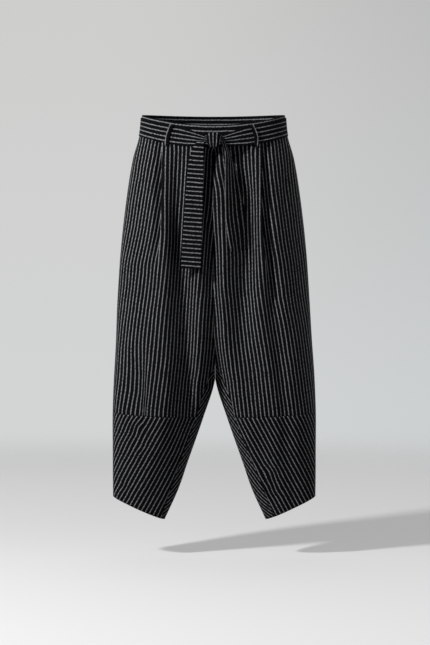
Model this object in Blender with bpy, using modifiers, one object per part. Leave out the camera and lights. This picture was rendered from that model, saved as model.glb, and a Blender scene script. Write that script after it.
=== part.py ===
"""Cropped barrel-leg trousers in pinstriped suiting, filled out and hollow, with a tie belt.

Metres, +Z up. The front faces -Y, and left and right are as seen from the front, so right is +X.
The origin is the middle of the waist, level with the top of the band at the side seams.
Every panel is a wall of cloth lofted through sections of one form, which the tables below give.
"""
import math
from collections import namedtuple

import bmesh
import bpy
import numpy as np
from mathutils import Vector

# Cloth thicknesses and the gap at every seam
CLOTH = 0.0015
BAND_WALL = 0.003
BELT_WALL = 0.002
TAIL_WALL = 0.002
LOOP_WALL = 0.0015
SEAM_GAP = 0.0003

# Heights, measured at the side seam down from the top of the band
BAND_BOTTOM = -0.046
CURVE_TOP = -0.400
CROTCH = -0.605
CUFF_TOP = -0.672
HEM = -0.858

# How finely the form is read
PANEL_ROWS = 8
CURVE_ROWS = 8
THIGH_ROWS = 5
CUFF_ROWS = 5
INNER_COLUMNS = 6
OUTER_COLUMNS = 7
BACK_COLUMNS = 14
HOOP_COLUMNS = 64
ARC_SAMPLES = 160
NORMAL_STEP = 0.0005

# A ring round one leg, by its height at the inner end and at the side seam. It reaches the side
# height at this part of its length.
Ring = namedtuple("Ring", "middle side")
RING_EASE = 0.7

# Half the outline on one leg at a height of the side seam. Above the crotch inner is 0 and the
# section is open at the middle; below it the section is a closed tube from inner to width.
# square is the power of the rounded section, drop the fall from side to middle, bow its curve.
Section = namedtuple("Section", "height width inner front back square drop_front drop_back bow")
SECTIONS = (
    Section(0.000, 0.160, 0.000, 0.092, 0.098, 2.2, 0.018, 0.0075, 1.0),
    Section(-0.046, 0.165, 0.000, 0.097, 0.104, 2.2, 0.021, 0.0080, 1.0),
    Section(-0.100, 0.180, 0.000, 0.105, 0.118, 2.3, 0.017, 0.0070, 1.0),
    Section(-0.190, 0.1945, 0.000, 0.112, 0.132, 2.4, 0.008, 0.0040, 1.0),
    Section(-0.300, 0.207, 0.000, 0.115, 0.138, 2.5, 0.000, 0.000, 1.0),
    Section(-0.415, 0.215, 0.000, 0.114, 0.133, 2.6, 0.000, 0.000, 1.0),
    Section(-0.505, 0.2195, 0.000, 0.110, 0.123, 2.7, 0.000, 0.000, 0.6),
    Section(-0.605, 0.225, 0.000, 0.102, 0.110, 2.7, 0.000, 0.000, 0.2),
    Section(-0.672, 0.227, 0.027, 0.088, 0.093, 2.7, 0.010, 0.010, 0.2),
    Section(-0.760, 0.2275, 0.063, 0.064, 0.067, 2.6, 0.025, 0.025, 0.2),
    Section(-0.858, 0.227, 0.109, 0.038, 0.038, 2.5, 0.049, 0.049, 0.2),
)

# How far the inseam stands to the front of the leg's inner edge
Inseam = namedtuple("Inseam", "height shift")
INSEAM = (
    Inseam(-0.605, 0.000),
    Inseam(-0.625, 0.002),
    Inseam(-0.650, 0.011),
    Inseam(-0.672, 0.020),
    Inseam(-0.760, 0.0215),
    Inseam(-0.858, 0.012),
)

# The folded edge of each front pleat: the cloth toward the middle lies over the outer cloth
Pleat = namedtuple("Pleat", "side height x")
PLEATS = (
    Pleat("left", -0.046, 0.115),
    Pleat("left", -0.300, 0.114),
    Pleat("left", -0.672, 0.130),
    Pleat("right", -0.046, 0.109),
    Pleat("right", -0.300, 0.104),
    Pleat("right", -0.672, 0.128),
)
PLEAT_LIFT = 0.0016
PLEAT_REACH = 0.024
PLEAT_EDGE = 0.0012
PLEAT_END = -0.430

# Largest folds, as a line down a face with a half width and a depth: a trough, or a ridge below 0
Fold = namedtuple("Fold", "side face top_x top_z low_x low_z spread depth")
FOLDS = (
    Fold("left", "front", 0.100, -0.150, 0.078, -0.700, 0.022, 0.006),
    Fold("left", "front", 0.150, -0.560, 0.168, -0.760, 0.016, 0.004),
    Fold("left", "front", 0.052, -0.330, 0.040, -0.560, 0.018, -0.004),
    Fold("right", "front", 0.038, -0.250, 0.062, -0.540, 0.020, 0.007),
    Fold("right", "front", 0.097, -0.330, 0.092, -0.660, 0.018, -0.005),
    Fold("right", "front", 0.122, -0.700, 0.150, -0.860, 0.016, 0.004),
    Fold("left", "back", 0.070, -0.260, 0.085, -0.640, 0.026, 0.007),
    Fold("left", "back", 0.145, -0.380, 0.150, -0.700, 0.022, 0.005),
    Fold("right", "back", 0.080, -0.300, 0.078, -0.660, 0.024, 0.006),
    Fold("right", "back", 0.150, -0.330, 0.160, -0.680, 0.022, 0.006),
)

# Belt: its height over the band, and how it gathers toward the knot at the centre front
BELT_HEIGHT = 0.042
BELT_MARGIN = 0.002
GATHER_START = 0.088
GATHER_TOP = -0.020
GATHER_BOTTOM = 0.002
GATHER_STAND = 0.0035
GATHER_WALL = 0.0035

# Knot
KNOT_WIDTH = 0.036
KNOT_DEPTH = 0.020
KNOT_HEIGHT = 0.041
KNOT_HIGH = -0.0515
KNOT_ROUND = 0.007

# Belt loops: where the middle of each stands on the waist, and how it leans. A loop steps out
# over the belt's edge within a height of LOOP_STEP.
LOOP_WIDTH = 0.010
LOOP_STEP = 0.0001
LOOP_ROWS = 7
Loop = namedtuple("Loop", "name side face x lean")
LOOPS = (
    Loop("loop_front_left", "left", "front", 0.100, 0.004),
    Loop("loop_front_right", "right", "front", 0.094, 0.004),
    Loop("loop_back_left", "left", "back", 0.105, 0.0),
    Loop("loop_back_right", "right", "back", 0.105, 0.0),
    Loop("loop_back_middle", "right", "back", 0.0, 0.0),
)

# Free ends of the belt, down the front: edges across x, and how far each stands off the form
Tail = namedtuple("Tail", "height start stop stand")
TAIL_LEFT = (
    Tail(-0.0560, -0.0370, -0.0215, 0.0074),
    Tail(-0.0660, -0.0460, -0.0215, 0.0074),
    Tail(-0.0760, -0.0530, -0.0220, 0.0060),
    Tail(-0.0860, -0.0555, -0.0225, 0.0050),
    Tail(-0.1060, -0.0595, -0.0227, 0.0040),
    Tail(-0.1500, -0.0630, -0.0232, 0.0030),
    Tail(-0.2000, -0.0665, -0.0245, 0.0030),
    Tail(-0.2500, -0.0695, -0.0258, 0.0030),
    Tail(-0.3000, -0.0725, -0.0270, 0.0030),
    Tail(-0.3400, -0.0745, -0.0285, 0.0035),
)
TAIL_RIGHT = (
    Tail(-0.0540, 0.0190, 0.0240, 0.0076),
    Tail(-0.0700, 0.0192, 0.0275, 0.0074),
    Tail(-0.0800, 0.0194, 0.0300, 0.0060),
    Tail(-0.0935, 0.0198, 0.0394, 0.0045),
    Tail(-0.1420, 0.0214, 0.0529, 0.0030),
    Tail(-0.1850, 0.0236, 0.0630, 0.0030),
    Tail(-0.2250, 0.0270, 0.0705, 0.0030),
    Tail(-0.2600, 0.0310, 0.0725, 0.0030),
    Tail(-0.2980, 0.0370, 0.0709, 0.0035),
)
TAIL_COLUMNS = 4

# Colours of the suiting, linear
CLOTH_COLOUR = (0.018, 0.018, 0.020, 1.0)
BELT_COLOUR = (0.024, 0.024, 0.026, 1.0)
CLOTH_ROUGHNESS = 0.85

SIDES = {"left": -1, "right": 1}


def read_table(rows, height):
    """Read the number columns of a table at one height, on a smooth curve through its rows."""
    table = sorted(rows)
    heights = [row[0] for row in table]
    place = min(max(height, heights[0]), heights[-1])
    low = min(max(int(np.searchsorted(heights, place)) - 1, 0), len(table) - 2)
    span = heights[low + 1] - heights[low]
    part = (place - heights[low]) / span
    values = []
    for column in range(1, len(table[0])):
        line = [row[column] for row in table]
        start_slope = slope_at(heights, line, low) * span
        stop_slope = slope_at(heights, line, low + 1) * span
        values.append(
            line[low] * (2 * part**3 - 3 * part**2 + 1)
            + start_slope * (part**3 - 2 * part**2 + part)
            + line[low + 1] * (3 * part**2 - 2 * part**3)
            + stop_slope * (part**3 - part**2)
        )
    return values


def slope_at(heights, line, index):
    """Give the slope of a column at one of its rows, from the rows on both sides of it."""
    before = max(index - 1, 0)
    after = min(index + 1, len(line) - 1)
    return (line[after] - line[before]) / (heights[after] - heights[before])


def section_at(height):
    """Read the form's section at a height of the side seam."""
    place = min(max(height, SECTIONS[-1].height), SECTIONS[0].height)
    return Section(place, *read_table(SECTIONS, place))


def centre_and_half(row):
    """Give the middle and half width of the section's rounded outline, which is a full loop
    below the crotch and is cut off at the middle of the garment above it."""
    if row.height <= CROTCH:
        half = (row.width - row.inner) / 2
        return row.inner + half, half
    pinch = min(max((CURVE_TOP - row.height) / (CURVE_TOP - CROTCH), 0), 1)
    half = row.width / (1 + pinch)
    return pinch * half, half


def angle_at(row, x, face):
    """Find the angle round the section where the front or back face is at this x."""
    centre, half = centre_and_half(row)
    across = min(max((x - centre) / half, -1), 1)
    along = (1 - abs(across) ** row.square) ** (1 / row.square)
    angle = math.atan2(along, across)
    return angle if face == "front" else math.tau - angle


def form_point(height, angle):
    """Give a point of the smooth form on the right leg: angle 0 is the side seam, a quarter
    turn the front, half a turn the inner leg and three quarters the back."""
    row = section_at(height)
    centre, half = centre_and_half(row)
    across, along = math.cos(angle), math.sin(angle)
    reach = (abs(across) ** row.square + abs(along) ** row.square) ** (-1 / row.square)
    x = centre + half * reach * across
    depth, drop = (row.front, row.drop_front) if along > 0 else (row.back, row.drop_back)
    return Vector((x, -depth * reach * along, height - fall_at(row, x, drop)))


def fall_at(row, x, drop):
    """Give how far a ring has fallen from its side height at this x."""
    part = (row.width - x) / (row.width - row.inner)
    return drop * ((1 + row.bow) * part - row.bow * part * part)


def form_normal(height, angle):
    """Give the outward direction of the smooth form at a point."""
    round_way = form_point(height, angle + NORMAL_STEP) - form_point(height, angle - NORMAL_STEP)
    high = min(height + NORMAL_STEP, SECTIONS[0].height)
    low = max(height - NORMAL_STEP, SECTIONS[-1].height)
    up_way = form_point(high, angle) - form_point(low, angle)
    return up_way.cross(round_way).normalized()


def pleat_x(side, height):
    """Give how far from the middle the pleat's folded edge is at a height."""
    rows = [(row.height, row.x) for row in PLEATS if row.side == side]
    return read_table(rows, height)[0]


def relief(side, face, point):
    """Give how far the folds and pleats move a point of the form inward."""
    inward = 0
    for fold in FOLDS:
        if (fold.side, fold.face) != (side, face) or not fold.low_z < point.z < fold.top_z:
            continue
        part = (fold.top_z - point.z) / (fold.top_z - fold.low_z)
        line = fold.top_x + (fold.low_x - fold.top_x) * part
        away = abs(point.x - line) / fold.spread
        if away < 1:
            inward += fold.depth * math.sin(math.pi * part) * math.cos(away * math.pi / 2) ** 2
    if face == "front" and point.z > PLEAT_END:
        away = point.x - pleat_x(side, point.z)
        fade = min((point.z - PLEAT_END) / (BAND_BOTTOM - PLEAT_END), 1)
        hold = max(1 - abs(away) / PLEAT_REACH, 0)
        edge = min(max(away / PLEAT_EDGE, -1), 1)
        inward += PLEAT_LIFT * fade * hold * edge
    return inward


def cloth_point(side, height, angle, folded=True):
    """Give a point of the cloth on one side of the garment, and its outward direction."""
    point = form_point(height, angle)
    normal = form_normal(height, angle)
    if folded:
        face = "front" if math.sin(angle) > 0 else "back"
        point.y += relief(side, face, point) * (1 if face == "front" else -1)
    point.x += SEAM_GAP / 2
    sign = SIDES[side]
    return Vector((sign * point.x, point.y, point.z)), Vector((sign * normal.x, normal.y, normal.z))


def smooth(part):
    """Ease a part from 0 to 1 in and out."""
    part = min(max(part, 0), 1)
    return part * part * (3 - 2 * part)


def trace(ring, start, stop):
    """Follow a ring from its inner end to the side seam between two angles. Gives the heights,
    the angles, how far out each sample is, and the length of cloth up to it."""
    parts = np.linspace(0, 1, ARC_SAMPLES)
    heights = [ring.middle + (ring.side - ring.middle) * smooth(part / RING_EASE) for part in parts]
    angles = start + (stop - start) * parts
    points = [form_point(height, angle) for height, angle in zip(heights, angles)]
    steps = [(after - before).length for before, after in zip(points, points[1:])]
    lengths = np.concatenate(([0], np.cumsum(steps)))
    return heights, angles, [point.x for point in points], lengths


def place(side, traced, lengths):
    """Give the cloth's points at these lengths along a traced ring."""
    heights, angles, _, run = traced
    pairs = zip(np.interp(lengths, run, heights), np.interp(lengths, run, angles))
    return [cloth_point(side, height, angle) for height, angle in pairs]


def seam_angle(height):
    """Find the angle of the front panel's inner edge: the centre front, then the inseam."""
    row = section_at(height)
    if height > CROTCH:
        return angle_at(row, 0, "front")
    shift = read_table(INSEAM, height)[0]
    return angle_at(row, row.inner + shift, "front")


def curve_heights():
    """Divide the crotch curve at the middle into equal lengths, and give the heights."""
    turns = np.linspace(0, math.pi / 2, ARC_SAMPLES)
    heights = [CURVE_TOP + (CROTCH - CURVE_TOP) * math.sin(turn) for turn in turns]
    points = [form_point(height, angle_at(section_at(height), 0, "front")) for height in heights]
    steps = [(after - before).length for before, after in zip(points, points[1:])]
    lengths = np.concatenate(([0], np.cumsum(steps)))
    return np.interp(np.linspace(0, lengths[-1], CURVE_ROWS + 1), lengths, heights)


def panel_rings():
    """List the rings between the band and the lower-leg seam. They fan round the crotch curve."""
    upper = np.linspace(BAND_BOTTOM - SEAM_GAP, CURVE_TOP, PANEL_ROWS, endpoint=False)
    fan = zip(curve_heights(), np.linspace(CURVE_TOP, CROTCH, CURVE_ROWS + 1))
    thigh = np.linspace(CROTCH, CUFF_TOP + SEAM_GAP, THIGH_ROWS + 1)[1:]
    rings = [Ring(height, height) for height in upper]
    rings += [Ring(middle, side) for middle, side in fan]
    return rings + [Ring(height, height) for height in thigh]


def lower_rings():
    """List the rings of the lower-leg panels."""
    return [Ring(high, high) for high in np.linspace(CUFF_TOP - SEAM_GAP, HEM, CUFF_ROWS + 1)]


def front_row(side, ring):
    """Lay out one ring of a front panel, with a point on each side of the pleat's edge."""
    traced = trace(ring, seam_angle(ring.middle), 0)
    _, _, out, run = traced
    start = SEAM_GAP / 2 if ring.middle <= CROTCH else 0
    edge = pleat_x(side, ring.side)
    near, far = np.interp((edge - PLEAT_EDGE, edge + PLEAT_EDGE), out, run)
    inner = np.linspace(start, near, INNER_COLUMNS + 1)
    outer = np.linspace(far, run[-1] - SEAM_GAP / 2, OUTER_COLUMNS + 1)
    return place(side, traced, [*inner, *outer])


def back_row(side, ring):
    """Lay out one ring of a back panel, which below the crotch wraps round to the inseam."""
    if ring.middle > CROTCH:
        start, inner = 0, angle_at(section_at(ring.middle), 0, "back")
    else:
        start, inner = SEAM_GAP / 2, seam_angle(ring.middle)
    traced = trace(ring, inner, math.tau)
    stop = traced[3][-1] - SEAM_GAP / 2
    return place(side, traced, np.linspace(start, stop, BACK_COLUMNS + 1))


def new_material(name, colour):
    """Make a plain cloth material."""
    material = bpy.data.materials.new(name)
    material.use_nodes = True
    shader = material.node_tree.nodes["Principled BSDF"]
    shader.inputs["Base Color"].default_value = colour
    shader.inputs["Roughness"].default_value = CLOTH_ROUGHNESS
    shader.inputs["Metallic"].default_value = 0.0
    return material


def add_object(name, mesh, collection, colour):
    """Put a mesh in the garment's collection as a named object with its own material."""
    obj = bpy.data.objects.new(name, mesh)
    obj.data.materials.append(new_material(f"{name}_cloth", colour))
    collection.objects.link(obj)
    return obj


def layer(row, stand, thick):
    """Turn a ring of points with directions into pairs of an outer and an inner point. The inner
    face stands off the points by stand."""
    return [(point + normal * (stand + thick), point + normal * stand) for point, normal in row]


def wall(collection, name, rows, colour, closed=False):
    """Loft a wall of cloth through rings of outer and inner points."""
    bm = bmesh.new()
    rings = [[(bm.verts.new(outer), bm.verts.new(inner)) for outer, inner in row] for row in rows]
    count = len(rows[0])
    for start in range(count if closed else count - 1):
        stop = (start + 1) % count
        for upper, lower in zip(rings, rings[1:]):
            bm.faces.new((upper[start][0], upper[stop][0], lower[stop][0], lower[start][0]))
            bm.faces.new((upper[start][1], lower[start][1], lower[stop][1], upper[stop][1]))
        for ring in (rings[0], rings[-1]):
            bm.faces.new((ring[start][0], ring[start][1], ring[stop][1], ring[stop][0]))
    if not closed:
        for upper, lower in zip(rings, rings[1:]):
            for end in (0, -1):
                bm.faces.new((upper[end][0], lower[end][0], lower[end][1], upper[end][1]))
    bmesh.ops.recalc_face_normals(bm, faces=bm.faces)
    if bm.calc_volume(signed=True) < 0:
        bmesh.ops.reverse_faces(bm, faces=bm.faces)
    mesh = bpy.data.meshes.new(name)
    bm.to_mesh(mesh)
    bm.free()
    mesh.shade_smooth()
    return add_object(name, mesh, collection, colour)


def waist_ring(height_of):
    """Lay out a ring all round the waist, at the side height that a function gives for an x."""
    ring = []
    _, angles, _, run = trace(Ring(BAND_BOTTOM / 2, BAND_BOTTOM / 2), -math.pi / 2, math.pi / 2)
    turns = list(np.interp(np.linspace(0, run[-1], HOOP_COLUMNS // 2 + 1), run, angles))
    for side, angles in (("right", turns[:-1]), ("left", turns[:0:-1])):
        for angle in angles:
            x = form_point(BAND_BOTTOM / 2, angle).x
            front = math.sin(angle) > 0
            ring.append(cloth_point(side, height_of(x, front), angle, folded=False))
    return ring


def gather(x, front):
    """Tell how far the belt has gathered toward the knot: 0 at the loops and 1 at the knot."""
    if not front:
        return 0
    return smooth((GATHER_START - x) / (GATHER_START - KNOT_WIDTH / 2))


def build_band(collection):
    """Build the waistband as one ring, a doubled wall of cloth."""
    heights = (0, BAND_BOTTOM / 2, BAND_BOTTOM + SEAM_GAP)
    rings = [waist_ring(lambda x, front, high=high: high) for high in heights]
    rows = [layer(ring, -BAND_WALL, BAND_WALL) for ring in rings]
    wall(collection, "waistband", rows, CLOTH_COLOUR, closed=True)


def build_belt(collection):
    """Build the belt round the band. It narrows and thickens where it gathers to the knot."""
    top, bottom = -BELT_MARGIN, -BELT_MARGIN - BELT_HEIGHT
    edges = (
        (top, GATHER_TOP),
        ((top + bottom) / 2, (GATHER_TOP + GATHER_BOTTOM) / 2),
        (bottom, GATHER_BOTTOM),
    )
    rows = []
    for high, shift in edges:
        ring = waist_ring(lambda x, front, high=high, shift=shift: high + shift * gather(x, front))
        row = []
        for point, normal in ring:
            part = gather(abs(point.x), point.y < 0)
            inner = point + normal * (SEAM_GAP + GATHER_STAND * part)
            row.append((inner + normal * (BELT_WALL + (GATHER_WALL - BELT_WALL) * part), inner))
        rows.append(row)
    wall(collection, "belt_wrap", rows, BELT_COLOUR, closed=True)


def build_loop(collection, loop):
    """Build one belt loop, a strip over the belt with a foot on the band at each end."""
    over = SEAM_GAP * 2 + BELT_WALL
    top, bottom = -SEAM_GAP, BAND_BOTTOM + SEAM_GAP * 2
    belt_top = -BELT_MARGIN + SEAM_GAP
    belt_bottom = -BELT_MARGIN - BELT_HEIGHT - SEAM_GAP
    rings = [(top, SEAM_GAP), (belt_top + LOOP_STEP, SEAM_GAP)]
    rings += [(height, over) for height in np.linspace(belt_top, belt_bottom, LOOP_ROWS)]
    rings += [(belt_bottom - LOOP_STEP, SEAM_GAP), (bottom, SEAM_GAP)]
    rows = []
    for height, stand in rings:
        middle = loop.x + loop.lean * ((top - height) / (top - bottom) - 0.5)
        row = []
        for way in (-1, 0, 1):
            x = middle + way * LOOP_WIDTH / 2
            side = loop.side if x >= 0 else "left"
            angle = angle_at(section_at(height), abs(x), loop.face)
            row.append(cloth_point(side, height, angle, folded=False))
        rows.append(layer(row, stand, over + LOOP_WALL - stand))
    wall(collection, loop.name, rows, CLOTH_COLOUR)


def build_knot(collection):
    """Build the knot, a rounded block in front of the gathered belt."""
    belt_low = section_at(-BELT_MARGIN - BELT_HEIGHT + GATHER_BOTTOM)
    back = belt_low.front + SEAM_GAP * 2 + GATHER_STAND + GATHER_WALL
    bpy.ops.mesh.primitive_cube_add(size=1)
    knot = bpy.context.object
    mesh = knot.data
    for vertex in mesh.vertices:
        vertex.co = Vector((
            vertex.co.x * KNOT_WIDTH,
            vertex.co.y * KNOT_DEPTH,
            vertex.co.z * KNOT_HEIGHT,
        ))
    bpy.data.objects.remove(knot)
    knot = add_object("belt_knot", mesh, collection, BELT_COLOUR)
    knot.location = (0, -back - KNOT_DEPTH / 2, KNOT_HIGH)
    rounding = knot.modifiers.new("Rounding", "BEVEL")
    rounding.width = KNOT_ROUND
    rounding.segments = 3
    mesh.shade_smooth()


def build_tail(collection, name, table):
    """Build one free end of the belt, a strip made from the front's points, moved out."""
    rows = []
    for tail in table:
        row = []
        for x in np.linspace(tail.start, tail.stop, TAIL_COLUMNS + 1):
            side = "right" if x > 0 else "left"
            # the front's points fall below their side height, so that height is raised to match
            section = section_at(tail.height)
            height = tail.height + fall_at(section, abs(x), section.drop_front)
            angle = angle_at(section_at(height), abs(x), "front")
            row.append(cloth_point(side, height, angle, folded=False))
        rows.append(layer(row, tail.stand, TAIL_WALL))
    wall(collection, name, rows, BELT_COLOUR)


def build_legs(collection):
    """Build the fronts, the backs and the lower-leg panels of both sides."""
    for side in SIDES:
        panels = (
            (f"front_{side}", front_row, panel_rings()),
            (f"back_{side}", back_row, panel_rings()),
            (f"lower_front_{side}", front_row, lower_rings()),
            (f"lower_back_{side}", back_row, lower_rings()),
        )
        for name, lay_out, rings in panels:
            rows = [layer(lay_out(side, ring), -CLOTH, CLOTH) for ring in rings]
            wall(collection, name, rows, CLOTH_COLOUR)


def main():
    """Clear the scene and build every piece of the trousers."""
    for obj in list(bpy.data.objects):
        bpy.data.objects.remove(obj)
    collection = bpy.data.collections.new("trousers")
    bpy.context.scene.collection.children.link(collection)
    build_legs(collection)
    build_band(collection)
    build_belt(collection)
    build_knot(collection)
    for loop in LOOPS:
        build_loop(collection, loop)
    build_tail(collection, "belt_tail_left", TAIL_LEFT)
    build_tail(collection, "belt_tail_right", TAIL_RIGHT)


main()
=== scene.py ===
"""Cropped barrel-leg trousers in pinstriped suiting, filled out and hollow, in a pale studio.

Metres, +Z up. The front faces -Y, and left and right are as seen from the front, so right is +X.
The origin is the middle of the waist, level with the top of the band at the side seams.
"""
import logging
import math
from dataclasses import dataclass
from enum import Enum
from typing import NamedTuple

import bmesh
import bpy
import numpy as np
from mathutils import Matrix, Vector


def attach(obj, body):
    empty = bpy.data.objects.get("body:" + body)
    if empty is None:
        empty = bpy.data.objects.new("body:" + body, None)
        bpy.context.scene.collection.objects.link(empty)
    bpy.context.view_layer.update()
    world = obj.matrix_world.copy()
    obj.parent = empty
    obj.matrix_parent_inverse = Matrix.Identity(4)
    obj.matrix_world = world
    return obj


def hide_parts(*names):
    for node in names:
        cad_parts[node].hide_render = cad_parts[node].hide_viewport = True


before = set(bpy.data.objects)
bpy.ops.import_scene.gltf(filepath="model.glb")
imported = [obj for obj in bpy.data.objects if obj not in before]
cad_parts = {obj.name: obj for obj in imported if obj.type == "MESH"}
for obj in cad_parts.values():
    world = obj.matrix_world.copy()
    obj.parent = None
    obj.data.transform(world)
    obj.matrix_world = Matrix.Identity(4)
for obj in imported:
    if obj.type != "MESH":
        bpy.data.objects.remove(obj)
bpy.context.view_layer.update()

Array = np.ndarray
log = logging.getLogger("trousers")

# Real sizes that several pieces share
STRIPE_PITCH = 0.0093
SEAM_GAP = 0.0003
CLOTH = 0.0008

# Heights, measured at the side seam down from the top of the band
BAND_BOTTOM = -0.046
CURVE_TOP = -0.400
FORK = -0.556
CROTCH = -0.593
CUFF_TOP = -0.665
HEM = -0.858

# The rings of a panel reach their side height at this part of their length
RING_EASE = 0.7
RING_SAMPLES = 260
CURVE_SAMPLES = 200

# Points of one piece that lie closer than this are one point
WELD = 0.00002


class Side(Enum):
    """A side of the garment, as seen from the front, with its sign along X."""

    LEFT = -1
    RIGHT = 1

    @property
    def word(self) -> str:
        """Give the side's name as the pieces use it."""
        return self.name.lower()


class Face(Enum):
    """The front or the back of the garment, with its sign along Y."""

    FRONT = -1
    BACK = 1


class Section(NamedTuple):
    """Half the form's outline on one leg, at a height of the side seam: how far out its two sides
    lie, how deep it is to the front and the back, how square its corners are, how far its ring has
    fallen at the inner end on each face, and how much of that fall comes early."""

    height: float
    width: float
    inner: float
    front: float
    back: float
    square: float
    drop_front: float
    drop_back: float
    bow: float


SECTIONS = (
    Section(0.000, 0.160, 0.000, 0.092, 0.098, 2.2, 0.020, 0.0055, 1.0),
    Section(-0.046, 0.165, 0.000, 0.097, 0.104, 2.2, 0.0225, 0.0065, 1.0),
    Section(-0.100, 0.180, 0.000, 0.105, 0.118, 2.3, 0.018, 0.0060, 1.0),
    Section(-0.190, 0.1945, 0.000, 0.112, 0.132, 2.4, 0.008, 0.0040, 1.0),
    Section(-0.300, 0.207, 0.000, 0.115, 0.138, 2.5, 0.000, 0.000, 1.0),
    Section(-0.415, 0.215, 0.000, 0.114, 0.133, 2.6, 0.000, 0.000, 1.0),
    Section(-0.505, 0.2195, 0.000, 0.110, 0.123, 2.7, 0.000, 0.000, 0.6),
    Section(-0.593, 0.225, 0.000, 0.102, 0.110, 2.7, 0.000, 0.000, 0.2),
    Section(-0.672, 0.228, 0.0275, 0.088, 0.093, 2.7, 0.011, 0.011, 0.2),
    Section(-0.760, 0.228, 0.063, 0.064, 0.067, 2.6, 0.025, 0.025, 0.2),
    Section(-0.805, 0.228, 0.0828, 0.052, 0.054, 2.6, 0.0376, 0.0376, 0.15),
    Section(-0.858, 0.2275, 0.1135, 0.038, 0.038, 2.5, 0.0525, 0.0525, 0.1),
)


class Mark(NamedTuple):
    """How far out from the middle a line of the cut lies, at a height."""

    height: float
    across: float


# Where the back panel, wrapped round the inner leg, meets the front panel
INSEAM = {
    Side.LEFT: (
        Mark(-0.556, 0.000), Mark(-0.566, 0.005), Mark(-0.594, 0.0175), Mark(-0.632, 0.032),
        Mark(-0.672, 0.0450), Mark(-0.760, 0.0815), Mark(-0.858, 0.1225),
    ),
    Side.RIGHT: (
        Mark(-0.556, 0.000), Mark(-0.566, 0.006), Mark(-0.594, 0.0205), Mark(-0.632, 0.0350),
        Mark(-0.672, 0.0465), Mark(-0.760, 0.0865), Mark(-0.858, 0.1350),
    ),
}

# The folded edge of each front pleat, and half the cloth that it takes up
PLEAT_EDGE = {
    Side.LEFT: (
        Mark(-0.046, 0.1135), Mark(-0.190, 0.1150), Mark(-0.300, 0.1200), Mark(-0.400, 0.1400),
        Mark(-0.672, 0.1500),
    ),
    Side.RIGHT: (
        Mark(-0.046, 0.1080), Mark(-0.190, 0.1060), Mark(-0.300, 0.1120), Mark(-0.400, 0.1260),
        Mark(-0.672, 0.1450),
    ),
}
PLEAT_TAKE = {
    Side.LEFT: (
        Mark(-0.046, 0.0245), Mark(-0.110, 0.0195), Mark(-0.190, 0.0120), Mark(-0.270, 0.0050),
        Mark(-0.335, 0.0000),
    ),
    Side.RIGHT: (
        Mark(-0.046, 0.0200), Mark(-0.110, 0.0165), Mark(-0.190, 0.0115), Mark(-0.280, 0.0055),
        Mark(-0.390, 0.0000),
    ),
}

# How far out the warp thread lies that each panel hangs by: on the fronts it is a stripe
GRAIN_LINE = {
    Side.LEFT: (
        Mark(-0.055, 0.0956), Mark(-0.190, 0.0990), Mark(-0.280, 0.1008), Mark(-0.370, 0.1089),
        Mark(-0.460, 0.1195), Mark(-0.550, 0.1298), Mark(-0.640, 0.1409), Mark(-0.690, 0.1455),
    ),
    Side.RIGHT: (
        Mark(-0.055, 0.1019), Mark(-0.190, 0.1026), Mark(-0.280, 0.1040), Mark(-0.370, 0.1105),
        Mark(-0.460, 0.1206), Mark(-0.550, 0.1323), Mark(-0.640, 0.1440), Mark(-0.690, 0.1500),
    ),
}
BACK_GRAIN = 0.120
CUFF_GRAIN = 0.150


class Fall(NamedTuple):
    """One row of a fold line: at a height, how far across it lies and how deep it is inward."""

    height: float
    across: float
    depth: float


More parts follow.
